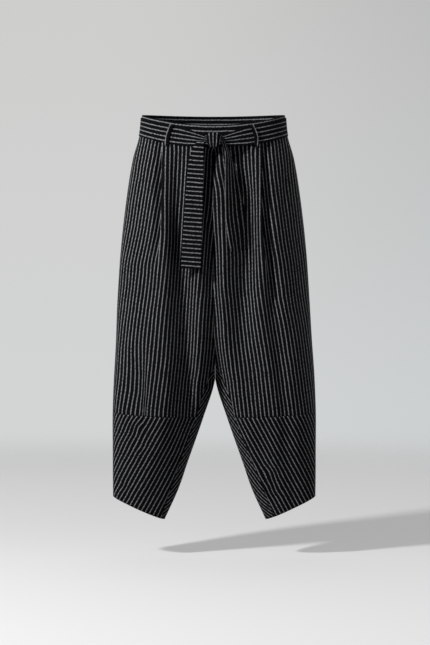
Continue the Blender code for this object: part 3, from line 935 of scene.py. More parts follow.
def sew(obj: bpy.types.Object, solid: str) -> bpy.types.Object:
    """Fix a piece on the garment's body in the place of its solid, and hide the solid.

    Args:
        obj: The piece.
        solid: The solid's name.

    Returns:
        The piece.
    """
    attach(obj, "root")
    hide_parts(solid)
    log.info("%s: %d vertices", obj.name, len(obj.data.vertices))
    return obj


@dataclass
class Rings:
    """Rings round one leg, each by its height at the inner end and at the side seam, traced
    between two angles and read by the length of cloth along them."""

    form: Form
    middle: Array
    side: Array
    start: Array
    stop: Array

    def __post_init__(self) -> None:
        """Trace the rings."""
        parts = np.linspace(0, 1, RING_SAMPLES)[None, :]
        ease = smooth(parts / RING_EASE)
        self.heights = self.middle[:, None] + (self.side - self.middle)[:, None] * ease
        self.angles = self.start[:, None] + (self.stop - self.start)[:, None] * parts
        self.points = self.form.point(self.heights, self.angles)
        steps = np.linalg.norm(np.diff(self.points, axis=1), axis=-1)
        self.run = np.concatenate((np.zeros((len(steps), 1)), np.cumsum(steps, axis=1)), axis=1)

    def length_at(self, x: Array) -> Array:
        """Give the length along each ring of the front where it has reached x."""
        pairs = zip(x, self.points[..., 0], self.run)
        return np.array([np.interp(value, out, run) for value, out, run in pairs])

    def read(self, lengths: Array) -> tuple[Array, Array]:
        """Give the places at these lengths along the rings.

        Args:
            lengths: A row of lengths for each ring.

        Returns:
            The heights and the angles there.
        """
        rows = list(zip(lengths, self.run, self.heights, self.angles))
        heights = np.array([np.interp(spot, run, high) for spot, run, high, _ in rows])
        return heights, np.array([np.interp(spot, run, turn) for spot, run, _, turn in rows])


def spread(start: Array, stop: Array, count: int) -> Array:
    """Divide the stretch from start to stop on each ring into equal steps."""
    return start[:, None] + (stop - start)[:, None] * np.linspace(0, 1, count)[None, :]


def curve_heights(form: Form, count: int) -> Array:
    """Divide the crotch curve at the middle of the garment into equal lengths.

    Args:
        form: The form.
        count: How many heights to give.

    Returns:
        The heights, from the top of the curve down to the crotch.
    """
    turns = np.linspace(0, math.pi / 2, CURVE_SAMPLES)
    heights = CURVE_TOP + (CROTCH - CURVE_TOP) * np.sin(turns)
    points = form.point(heights, form.angle_at(heights, np.zeros_like(heights), Face.FRONT))
    steps = np.linalg.norm(np.diff(points, axis=0), axis=-1)
    run = np.concatenate(([0], np.cumsum(steps)))
    return np.interp(np.linspace(0, run[-1], count), run, heights)


@dataclass
class Leg:
    """One leg of the trousers: its front, back and lower panels, cut, folded and sewn."""

    side: Side
    form: Form
    front_relief: Relief
    back_relief: Relief
    suiting: bpy.types.Material
    upper_rows: int = 104
    fan_rows: int = 54
    thigh_rows: int = 24
    cuff_rows: int = 64
    inner_columns: int = 46
    outer_columns: int = 48
    back_columns: int = 92
    wrap_columns: int = 14
    cuff_columns: int = 80
    fold_columns: int = 7
    # the S-fold of a pleat lies in three layers this deep in all, and leans this far outward
    pleat_depth: float = 0.0026
    pleat_drift: float = 0.0015
    # the cloth that wraps round the inner leg: its length for each metre across, and its slant
    wrap_slack: float = 1.33
    wrap_lean: float = 1.0
    # cut sizes of the four panels: width, length and flat area
    front_cut: tuple[float, float, float] = (0.330, 0.660, 0.176)
    back_cut: tuple[float, float, float] = (0.330, 0.680, 0.182)
    lower_front_cut: tuple[float, float, float] = (0.250, 0.240, 0.036)
    lower_back_cut: tuple[float, float, float] = (0.280, 0.250, 0.045)
    # the inner legs hang this far over to the right, growing from this height over this length
    sway: float = 0.0038
    sway_top: float = -0.40
    sway_grow: float = 0.18
    # the outer sides hang over by this part less, from this far out over this width
    sway_held: float = 0.55
    sway_side: float = 0.10
    sway_width: float = 0.12
    # slant of the stripes on the lower front panels, from the vertical
    cuff_slant: float = math.radians(28.5)

    def __post_init__(self) -> None:
        """Draw the leg's lines and measure its grain."""
        marks = (INSEAM, PLEAT_EDGE, PLEAT_TAKE, PLEAT_TROUGH)
        self.inseam, self.pleat, self.take, self.trough = (mark_line(t[self.side]) for t in marks)
        thread = mark_line(GRAIN_LINE[self.side])
        back_thread = SmoothLine([-1.0, 0.0], [BACK_GRAIN, BACK_GRAIN])
        cuff_thread = SmoothLine([-1.0, 0.0], [CUFF_GRAIN, CUFF_GRAIN])
        self.front_grain = Grain(self.form, self.front_relief, self.side, thread)
        self.back_grain = Grain(self.form, self.back_relief, self.side, back_thread)
        self.cuff_grain = Grain(self.form, self.front_relief, self.side, cuff_thread)

    def upper_rings(self) -> tuple[Array, Array]:
        """List the rings from the band down to the seam at the lower leg.

        Returns:
            Their heights at the inner end and at the side seam.
        """
        upper = np.linspace(BAND_BOTTOM - SEAM_GAP, CURVE_TOP, self.upper_rows, endpoint=False)
        fan_middle = curve_heights(self.form, self.fan_rows)
        fan_side = np.linspace(CURVE_TOP, CROTCH, self.fan_rows)
        thigh = np.linspace(CROTCH, CUFF_TOP + SEAM_GAP, self.thigh_rows + 1)[1:]
        return np.concatenate((upper, fan_middle, thigh)), np.concatenate((upper, fan_side, thigh))

    def lower_rings(self) -> tuple[Array, Array]:
        """List the heights of the rings of the lower panels."""
        heights = np.linspace(CUFF_TOP - SEAM_GAP, HEM, self.cuff_rows)
        return heights, heights

    def place(self, heights: Array, angles: Array, sunk: Array | float = 0.0) -> Array:
        """Lay the cloth on this leg, with its folds and sway.

        Args:
            heights: Heights of the rings at the side seam.
            angles: Angles round the section.
            sunk: How much deeper than its folds the cloth lies.

        Returns:
            The cloth's points.
        """
        points = self.form.point(heights, angles)
        for relief in (self.front_relief, self.back_relief):
            depth = relief.seen_depth(self.side, points, angles) + sunk
            on_face = (np.sin(angles) > 0) == (relief.face is Face.FRONT)
            points[..., 1] -= np.where(on_face, depth * relief.face.value, 0.0)
        points[..., 0] += SEAM_GAP / 2
        free = 1 - self.sway_held * smooth((points[..., 0] - self.sway_side) / self.sway_width)
        points[..., 0] *= self.side.value
        points[..., 0] += self.sway * free * smooth((self.sway_top - points[..., 2]) / self.sway_grow)
        return points

    def fold_path(self, take: Array) -> tuple[Array, Array, Array]:
        """Lay out the S-fold of a pleat across its columns.

        Args:
            take: Half the cloth that the pleat takes up, on each ring.

        Returns:
            How far each column lies beyond the pleat's edge, how deep it is sunk, and the length
            of cloth travelled to it from the edge.
        """
        count = self.fold_columns
        turn = np.linspace(0, math.pi, count)
        radius = self.pleat_depth / 4
        bend = radius * (1 - np.sin(turn))
        drop = radius * (1 - np.cos(turn))
        # the first bend, halfway in under it, the second bend, halfway out again, and out
        shares = np.array([0.0] * count + [-0.5] + [-1.0] * count + [-0.5, 0.0])
        bends = np.concatenate((-bend, [0.0], bend, [0.0, 0.0]))
        sunk = np.concatenate((drop, [2 * radius], 2 * radius + drop, [4 * radius, 4 * radius]))
        small = np.clip(take / (6 * radius), 0, 1)[:, None]
        drift = self.pleat_drift * np.linspace(0, 1, len(shares))[None, :]
        path = take[:, None] * shares[None, :] + small * bends[None, :] + drift
        travelled = np.abs(np.diff(path, axis=1)).cumsum(axis=1)
        travelled = np.concatenate((np.zeros((len(take), 1)), travelled), axis=1)
        return path, sunk[None, :] * small, travelled

    def front(self) -> bpy.types.Object:
        """Make the front panel, with its pleat.

        Returns:
            The panel's object.
        """
        middle, side = self.upper_rings()
        inner_angle = self.form.angle_at(middle, np.zeros_like(middle), Face.FRONT)
        rings = Rings(self.form, middle, side, inner_angle, np.zeros_like(middle))
        start = rings.length_at(self.inseam(middle)) + np.where(middle < FORK, SEAM_GAP / 2, 0)
        edge = rings.length_at(self.pleat(side))
        stop = rings.run[:, -1] - SEAM_GAP / 2
        take = np.where(side > self.take.heights[0], self.take(side), 0.0)
        path, sunk, travelled = self.fold_path(take)
        inner = spread(start, edge, self.inner_columns)[:, :-1]
        pleat = edge[:, None] + path
        outer = spread(pleat[:, -1], stop, self.outer_columns)[:, 1:]
        heights, angles = rings.read(np.concatenate((inner, pleat, outer), axis=1))
        opened = smooth((outer - pleat[:, -1:]) / PLEAT_OPEN[self.side])
        trough = self.trough(side)[:, None]
        # the fold's last columns come out from under it, down in the trough
        under = np.concatenate((np.zeros(sunk.shape[1] - 3), np.ones(3)))[None, :]
        low = sunk + trough * under
        depth = np.concatenate((0 * inner, low, low[:, -1:] * (1 - opened)), axis=1)
        points = self.place(heights, angles, depth)
        across = self.front_grain.read(points[..., 2], angles)
        for tuck in TUCKS:
            if tuck.side is self.side:
                out = np.abs(points[..., 0]) - tuck.x
                drawn = (1 + np.tanh(out / tuck.reach)) / 2 * (1 - smooth(out / tuck.spread))
                across += tuck.amount * drawn * smooth(1 - (points[..., 2] - tuck.z) / tuck.run_in)
        first, last = inner.shape[1], inner.shape[1] + pleat.shape[1]
        at_edge = across[:, first:first + 1]
        across[:, last:] += at_edge + travelled[:, -1:] - across[:, last - 1:last]
        across[:, first:last] = at_edge + travelled
        cloth = Fabric()
        cloth.add(points, across, points[..., 2], flip=self.side is Side.LEFT)
        return self.hang(cloth, "front")

    def hang(self, cloth: Fabric, panel: str) -> bpy.types.Object:
        """Make one of the leg's panels from its cloth.

        Args:
            cloth: The cloth.
            panel: The panel's name, without its side.

        Returns:
            The panel's object.
        """
        name = f"{panel}_{self.side.word}"
        obj = cloth.make(f"{name}_cloth", self.suiting, CLOTH)
        return sew(obj, name)

    def back_panel(self, panel: str, rings: tuple[Array, Array]) -> bpy.types.Object:
        """Make a back panel, which wraps round the inner leg to its seam on the front.

        Args:
            panel: The panel's name, without its side.
            rings: The heights of its rings at the inner end and at the side seam.

        Returns:
            The panel's object.
        """
        back, wrap, keep = self.wrapped(*rings)
        cloth = Fabric()
        cloth.add(*back, flip=self.side is Side.LEFT)
        cloth.add(*wrap, keep=keep, flip=self.side is Side.LEFT)
        return self.hang(cloth, panel)

    def wrapped(self, middle: Array, side: Array) -> tuple[tuple, tuple, Array]:
        """Lay out a back panel and the stretch of it that wraps onto the front.

        Args:
            middle: The rings' heights at the inner end.
            side: Their heights at the side seam.

        Returns:
            The points, across and along of both grids, and the cells of the second with cloth.
        """
        zero = np.zeros_like(middle)
        inner_angle = self.form.angle_at(middle, zero, Face.BACK)
        rings = Rings(self.form, middle, side, inner_angle, zero + math.tau)
        stop = rings.run[:, -1] - SEAM_GAP / 2
        heights, angles = rings.read(spread(zero, stop, self.back_columns))
        points = self.place(heights, angles)
        across = self.back_grain.read(points[..., 2], angles)
        front = Rings(self.form, middle, side, self.form.angle_at(middle, zero, Face.FRONT), zero)
        end = np.maximum(front.length_at(self.inseam(middle)) - SEAM_GAP / 2, 0)
        wrap_heights, wrap_angles = front.read(spread(end, zero, self.wrap_columns))
        wrap_points = self.place(wrap_heights, wrap_angles)
        crotch_row = int(np.argmin(np.abs(middle - CROTCH)))
        above = across[crotch_row, 0] + self.wrap_lean * (CROTCH - middle)
        inner_across = np.where(middle > CROTCH, above, across[:, 0])[:, None]
        out = np.abs(wrap_points[..., 0])
        wrap_across = inner_across - (out - out[:, -1:]) * self.wrap_slack
        keep_rows = (middle[:-1] <= FORK)[:, None]
        keep = np.broadcast_to(keep_rows, (len(middle) - 1, self.wrap_columns - 1))
        back = (points, across, points[..., 2])
        return back, (wrap_points, wrap_across, wrap_points[..., 2]), keep

    def lower_front(self) -> bpy.types.Object:
        """Make the lower front panel, cut so that its stripes run aslant.

        Returns:
            The panel's object.
        """
        middle, side = self.lower_rings()
        zero = np.zeros_like(middle)
        rings = Rings(self.form, middle, side, zero + math.pi, zero)
        start = rings.length_at(self.inseam(middle)) + SEAM_GAP / 2
        stop = rings.run[:, -1] - SEAM_GAP / 2
        heights, angles = rings.read(spread(start, stop, self.cuff_columns))
        points = self.place(heights, angles)
        level = self.cuff_grain.read(points[..., 2], angles)
        for pull in PULLS:
            if pull.side is self.side:
                away = np.hypot(np.abs(points[..., 0]) - pull.x, points[..., 2] - pull.z)
                level = level + pull.amount * hump(away / pull.spread)
        down = points[..., 2] - CUFF_TOP
        turn = self.cuff_slant
        across = level * math.cos(turn) + down * math.sin(turn)
        along = down * math.cos(turn) - level * math.sin(turn)
        cloth = Fabric()
        cloth.add(points, across, along, flip=self.side is Side.LEFT)
        return self.hang(cloth, "lower_front")

    def build(self) -> None:
        """Make the leg's four panels."""
        self.front()
        self.back_panel("back", self.upper_rings())
        self.lower_front()
        self.back_panel("lower_back", self.lower_rings())


@dataclass
class Hoop:
    """A closed ring of places round the waist, on which the band and the belt are laid."""

    form: Form
    columns: int = 288

    def __post_init__(self) -> None:
        """Spread the places evenly, from the middle of the back round by the right side."""
        level = np.array([BAND_BOTTOM / 2])
        turn = np.array([math.pi / 2])
        rings = Rings(self.form, level, level, -turn, turn)
        half = self.columns // 2
        _, angles = rings.read(np.linspace(0, rings.run[0, -1], half + 1)[None, :])
        angles = angles[0]
        self.length = 2 * rings.run[0, -1]
        self.angles = np.concatenate((angles[:-1], angles[:0:-1]))
        self.signs = np.concatenate((np.ones(half), -np.ones(half)))
        self.run = np.linspace(0, self.length, self.columns, endpoint=False)
        self.x = self.form.point(np.full(self.columns, level[0]), self.angles)[:, 0]
        self.front = np.sin(self.angles) > 0

    def point(self, height: Array, stand: Array) -> Array:
        """Give the points of rings round the waist.

        Args:
            height: Their heights at the side seam, a row for each ring.
            stand: How far each point stands off the form.

        Returns:
            The points.
        """
        angles = np.broadcast_to(self.angles, height.shape)
        points = self.form.point(height, angles) + self.form.normal(height, angles) * stand[..., None]
        points[..., 0] += SEAM_GAP / 2
        points[..., 0] *= self.signs
        return points


@dataclass
class Waistband:
    """The waistband: a doubled strip with a folded top edge and a seam at the centre back."""

    hoop: Hoop
    suiting: bpy.types.Material
    wall: float = 0.003
    # where the stripes start, out from the top edge on the outside and down from it inside
    first_stripe: float = 0.0022
    first_inside: float = 0.0078
    rows: int = 22
    edge_rows: int = 9
    cut: tuple[float, float] = (0.046, 0.850)

    def build(self) -> bpy.types.Object:
        """Make the band as one closed shell.

        Returns:
            The band's object.
        """
        bottom = BAND_BOTTOM + SEAM_GAP
        radius = self.wall / 2
        turns = np.linspace(0, math.pi, self.edge_rows)
        outer = [(height, 0.0) for height in np.linspace(bottom, -radius, self.rows)]
        top = [(-radius * (1 - math.sin(turn)), -radius * (1 - math.cos(turn))) for turn in turns]
        inner = [(height, -self.wall) for height in np.linspace(-radius, bottom, self.rows)]
        profile = np.array([*outer[:-1], *top, *inner[1:], outer[0]])
        heights = np.broadcast_to(profile[:, :1], (len(profile), self.hoop.columns))
        stands = np.broadcast_to(profile[:, 1:], heights.shape)
        points = self.hoop.point(heights, stands)
        steps = np.hypot(np.diff(profile[:, 0]), np.diff(profile[:, 1]))
        run = np.concatenate(([0], np.cumsum(steps)))
        run = run - run[len(outer) - 1]
        last = len(outer) + len(top) // 2
        inside = run - run[last] - self.first_inside
        across = np.where(np.arange(len(run)) < last, run + self.first_stripe, inside)
        across = np.broadcast_to(across[:, None], heights.shape)
        along = np.broadcast_to(self.hoop.run[None, :], heights.shape)
        cloth = Fabric()
        cloth.add(points, across, along, flip=True, closed=True)
        obj = cloth.make("waistband_cloth", self.suiting, seam=self.hoop.length)
        return sew(obj, "waistband")


@dataclass
class Belt:
    """The tie belt's stretch round the waist, which gathers toward the knot at the front."""

    hoop: Hoop
    suiting: bpy.types.Material
    margin: float = 0.0072
    height: float = 0.0388
    wall: float = 0.002
    rows: int = 30
    edge_rows: int = 7
    # where the stripes start, from the belt's top edge
    first_stripe: float = STRIPE_PITCH * 4 - 0.0066
    # the belt gathers from here in to the knot, more and more steeply
    gather_start: float = 0.078
    knot_half: float = 0.0125
    steepness: float = 1.3
    # at the knot its edges have moved this far, it stands off this much and is thicker by half,
    # and its pleats crowd toward the top
    gather_top: float = -0.0180
    gather_bottom: float = 0.0042
    gather_stand: float = 0.0035
    thicker: float = 0.5
    crowded: float = 0.5
    crowding: float = 1.5
    # there it swells out at the middle, and has this many waves, this deep
    swell: float = 0.0028
    waves: float = 2.3
    wave_start: float = 0.4
    wave_depth: float = 0.0012
    cut: tuple[float, float] = (0.042, 0.880)

    def gather(self) -> Array:
        """Tell how far the belt has gathered at each place: 0 at the loops and 1 at the knot."""
        part = (self.gather_start - self.hoop.x) / (self.gather_start - self.knot_half)
        return np.where(self.hoop.front, np.clip(part, 0, 1) ** self.steepness, 0.0)

    def build(self) -> bpy.types.Object:
        """Make the belt as one closed shell.

        Returns:
            The belt's object.
        """
        gather = self.gather()[None, :]
        radius = self.wall / 2
        turns = np.linspace(0, math.pi, self.edge_rows)[1:-1]
        parts = np.linspace(0, 1, self.rows)
        outer = [(part, self.wall) for part in parts]
        low = [(1.0, radius * (1 + math.cos(turn))) for turn in turns]
        inner = [(part, 0.0) for part in parts[::-1]]
        high = [(0.0, radius * (1 - math.cos(turn))) for turn in turns]
        profile = np.array([*outer, *low, *inner, *high, outer[0]])
        part, stand = profile[:, :1], profile[:, 1:]
        flat = np.zeros(self.rows)
        puff = np.concatenate((flat, np.sin(turns), flat, -np.sin(turns), [0.0]))[:, None]
        top = -self.margin + self.gather_top * gather
        bottom = -self.margin - self.height + self.gather_bottom * gather
        drawn = part + gather * self.crowded * (part**self.crowding - part)
        heights = top + (bottom - top) * drawn - puff * radius
        arch = np.sin(math.pi * part)
        wave = np.sin(self.waves * math.tau * drawn + self.wave_start) * arch
        folds = gather * (self.wave_depth * wave + self.swell * arch)
        stands = SEAM_GAP + self.gather_stand * gather + stand * (1 + self.thicker * gather) + folds
        points = self.hoop.point(heights, stands)
        across = np.broadcast_to(part * self.height + self.first_stripe, heights.shape)
        along = np.broadcast_to(self.hoop.run[None, :], heights.shape)
        cloth = Fabric()
        cloth.add(points, across, along, closed=True)
        obj = cloth.make("belt_wrap_cloth", self.suiting, seam=self.hoop.length)
        return sew(obj, "belt_wrap")


@dataclass
class Knot:
    """The knot: the belt's end wrapped once over the gathered belt, pulled in at the bottom."""

    form: Form
    suiting: bpy.types.Material
    width: float = 0.036
    depth: float = 0.020
    height: float = 0.034
    centre: float = -0.0520
    back: float = 0.1040
    columns: int = 72
    rows: int = 40
    # how square its corners are, and how square and how blunt its two ends are
    square: float = 2.8
    end_square: float = 3.2
    end_blunt: float = 2.6
    # the part of its full width and its flare: wider above the middle and narrower below it
    fullness: float = 0.84
    flare: float = 0.12
    # the part of its depth that is left at its ends
    end_depth: float = 0.25
    # the part of their spacing that its stripes keep where it is pulled in at the bottom
    kept_spacing: float = 0.55
    first_stripe: float = 0.0010
    # small folds down its front, one for each stripe
    fold_depth: float = 0.0009
    fold_pitch: float = 0.0088
    fold_start: float = 0.001
    cut: tuple[float, float] = (0.042, 0.052)

    def build(self) -> bpy.types.Object:
        """Make the knot as one closed, rounded wrap.

        Returns:
            The knot's object.
        """
        turn = np.linspace(0, math.tau, self.columns, endpoint=False)[None, :]
        level = np.linspace(-1, 1, self.rows)[:, None]
        corner = np.abs(np.cos(turn)) ** self.square + np.abs(np.sin(turn)) ** self.square
        reach = corner ** (-1 / self.square)
        close = (1 - np.abs(level) ** self.end_square) ** (1 / self.end_blunt)
        taper = self.fullness + self.flare * level
        pulled = self.kept_spacing + (1 - self.kept_spacing) * close
        pinch = taper * np.where(level < 0, pulled, 1.0)
        x = self.width / 2 * reach * np.cos(turn) * close * taper
        thick = (self.end_depth + (1 - self.end_depth) * close) * (close > 0)
        y = self.depth / 2 * reach * np.sin(turn) * thick
        z = self.centre + self.height / 2 * level + 0 * turn
        folds = np.cos(math.tau * (x + self.fold_start) / self.fold_pitch)
        y = y - self.fold_depth * folds * (np.sin(turn) < 0)
        points = np.stack(np.broadcast_arrays(x, y - self.back - self.depth / 2, z), axis=-1)
        cloth = Fabric()
        cloth.add(points, x / pinch + self.first_stripe + 0 * z, z, closed=True)
        obj = cloth.make("belt_knot_cloth", self.suiting)
        return sew(obj, "belt_knot")


class TailRow(NamedTuple):
    """One row of a free end: its height, its two edges across and how far it stands off."""

    height: float
    start: float
    stop: float
    stand: float


TAIL_LEFT = (
    TailRow(-0.0560, -0.0330, -0.0205, 0.0074),
    TailRow(-0.0660, -0.0415, -0.0205, 0.0074),
    TailRow(-0.0760, -0.0475, -0.0210, 0.0060),
    TailRow(-0.0860, -0.0505, -0.0212, 0.0050),
    TailRow(-0.1060, -0.0545, -0.0215, 0.0040),
    TailRow(-0.1500, -0.0585, -0.0220, 0.0030),
    TailRow(-0.2000, -0.0622, -0.0232, 0.0030),
    TailRow(-0.2500, -0.0655, -0.0246, 0.0030),
    TailRow(-0.3000, -0.0690, -0.0262, 0.0030),
    TailRow(-0.3368, -0.0714, -0.0279, 0.0035),
)
TAIL_RIGHT = (
    TailRow(-0.0420, 0.0110, 0.0150, 0.0130),
    TailRow(-0.0480, 0.0150, 0.0200, 0.0120),
    TailRow(-0.0560, 0.0195, 0.0250, 0.0095),
    TailRow(-0.0700, 0.0224, 0.0300, 0.0072),
    TailRow(-0.0830, 0.0240, 0.0350, 0.0055),
    TailRow(-0.1000, 0.0243, 0.0420, 0.0040),
    TailRow(-0.1420, 0.0243, 0.0535, 0.0030),
    TailRow(-0.1850, 0.0244, 0.0630, 0.0030),
    TailRow(-0.2250, 0.0252, 0.0700, 0.0030),
    TailRow(-0.2600, 0.0302, 0.0722, 0.0030),
    TailRow(-0.2980, 0.0368, 0.0709, 0.0035),
)


@dataclass
class Tail:
    """A free end of the belt, hanging down the front from the knot."""

    form: Form
    suiting: bpy.types.Material
    side: Side
    table: tuple[TailRow, ...]
    crosswise: bool
    cut: tuple[float, float]
    # how much further back its right edge hangs than its left, which part across stays in place,
    # and the height from which, and the length over which, it turns
    turn: float = 0.0
    hinge: float = 0.0
    turn_top: float = -0.060
    turn_length: float = 0.075
    # crosswise stripes: their slant, and the length of belt for each metre down
    tilt: float = 0.07
    closeness: float = 0.96
    # lengthwise stripes: how fully they run in to the knot, and where they start
    drawn: float = 0.8
    first_stripe: float = -0.0012
    # its left edge is rolled back this far, over this width
    roll: float = 0.0
    roll_width: float = 0.004
    # it hangs in a slight wave: its depth, its turns down in radians a metre, and its slant across
    wave: float = 0.0008
    wave_turns: float = 38.0
    wave_slant: float = 3.0
    rows: int = 150
    columns: int = 22
    wall: float = 0.002

    def build(self) -> bpy.types.Object:
        """Make the tail as a doubled strip.

        Returns:
            The tail's object.
        """
        heights = [row.height for row in self.table]
        lines = {name: SmoothLine(heights, [getattr(row, name) for row in self.table])
                 for name in ("start", "stop", "stand")}
        z = np.linspace(heights[0], heights[-1], self.rows)[:, None]
        part = np.linspace(0, 1, self.columns)[None, :]
        across_all = lines["stop"](z) - lines["start"](z)
        x = lines["start"](z) + across_all * part
        level = self.form.level(z + 0 * x, np.abs(x), Face.FRONT)
        angle = self.form.angle_at(level, np.abs(x), Face.FRONT)
        points = self.form.point(level, angle)
        normal = self.form.normal(level, angle)
        points = points + normal * (lines["stand"](z) + self.wall)[..., None]
        points[..., 0] += SEAM_GAP / 2
        points[..., 0] *= np.sign(x)
        wave = self.wave * np.sin(z * self.wave_turns + self.wave_slant * part)
        points[..., 1] += wave * np.sin(math.pi * part)
        turned = smooth((self.turn_top - z) / self.turn_length)
        points[..., 1] += self.turn * turned * (part - self.hinge)
        rolled = np.clip(1 - part * across_all / self.roll_width, 0, 1)
        points[..., 1] += self.roll * rolled**2
        steps = np.hypot(*(np.gradient(points[..., i], axis=1) for i in (0, 1)))
        width = np.concatenate((np.zeros((self.rows, 1)), np.cumsum(steps[:, 1:], axis=1)), axis=1)
        down = -self.closeness * points[..., 2] - self.tilt * width
        gathered = width + self.drawn * part**2 * (self.cut[0] - width[:, -1:])
        across, along = (down, width) if self.crosswise else (gathered + self.first_stripe, down)
        cloth = Fabric()
        cloth.add(points, across, along)
        name = f"belt_tail_{self.side.word}"
        obj = cloth.make(f"{name}_cloth", self.suiting, self.wall)
        return sew(obj, name)


@dataclass
class BeltLoop:
    """One belt loop: a narrow strip over the belt with a foot on the band at each end."""

    form: Form
    suiting: bpy.types.Material
    name: str
    side: Side
    face: Face
    # how far out it is, how far its foot lies beyond its head, how far its middle bows out, and
    # how much further its outer edge stands off than its middle
    x: float
    lean: float
    bow: float = 0.0
    twist: float = 0.0
    # heights of the head and the foot, on the front and on the back
    front_ends: tuple[float, float] = (-0.005, -0.054)
    back_ends: tuple[float, float] = (-0.004, BAND_BOTTOM)
    width: float = 0.0078
    wall: float = 0.0015
    # how far it stands over the band, with this much slack, and how soon it rises to that
    over: float = 0.0026
    slack: float = 0.0008
    rise: float = 0.005
    # its one stripe runs this part of its half width out from the middle
    stripe_at: float = 0.86
    rows: int = 48
    columns: int = 9
    cut: tuple[float, float] = (0.010, 0.048)

    def build(self) -> bpy.types.Object:
        """Make the loop as a doubled strip.

        Returns:
            The loop's object.
        """
        top, bottom = self.front_ends if self.face is Face.FRONT else self.back_ends
        part = np.linspace(0, 1, self.rows)[:, None]
        height = top + (bottom - top) * part
        rise = smooth(np.minimum(top - height, height - bottom) / self.rise)
        stand = SEAM_GAP + self.wall + (self.over - SEAM_GAP + self.slack) * rise
        way = np.linspace(-1, 1, self.columns)[None, :]
        bow = self.bow * np.sin(math.pi * part)
        x = self.x + self.lean * (part - 0.5) + bow + way * self.width / 2
        height = height + 0 * x
        angle = self.form.angle_at(height, np.abs(x), self.face)
        points = self.form.point(height, angle)
        stand = stand + self.twist * way * rise
        points = points + self.form.normal(height, angle) * stand[..., None]
        points[..., 0] *= self.side.value * np.sign(x)
        cloth = Fabric()
        flip = (self.side is Side.LEFT) != (self.face is Face.BACK)
        across = 0 * height + (way - self.stripe_at) * self.width / 2
        cloth.add(points, across, height, flip=flip)
        obj = cloth.make(f"{self.name}_cloth", self.suiting, self.wall)
        return sew(obj, self.name)


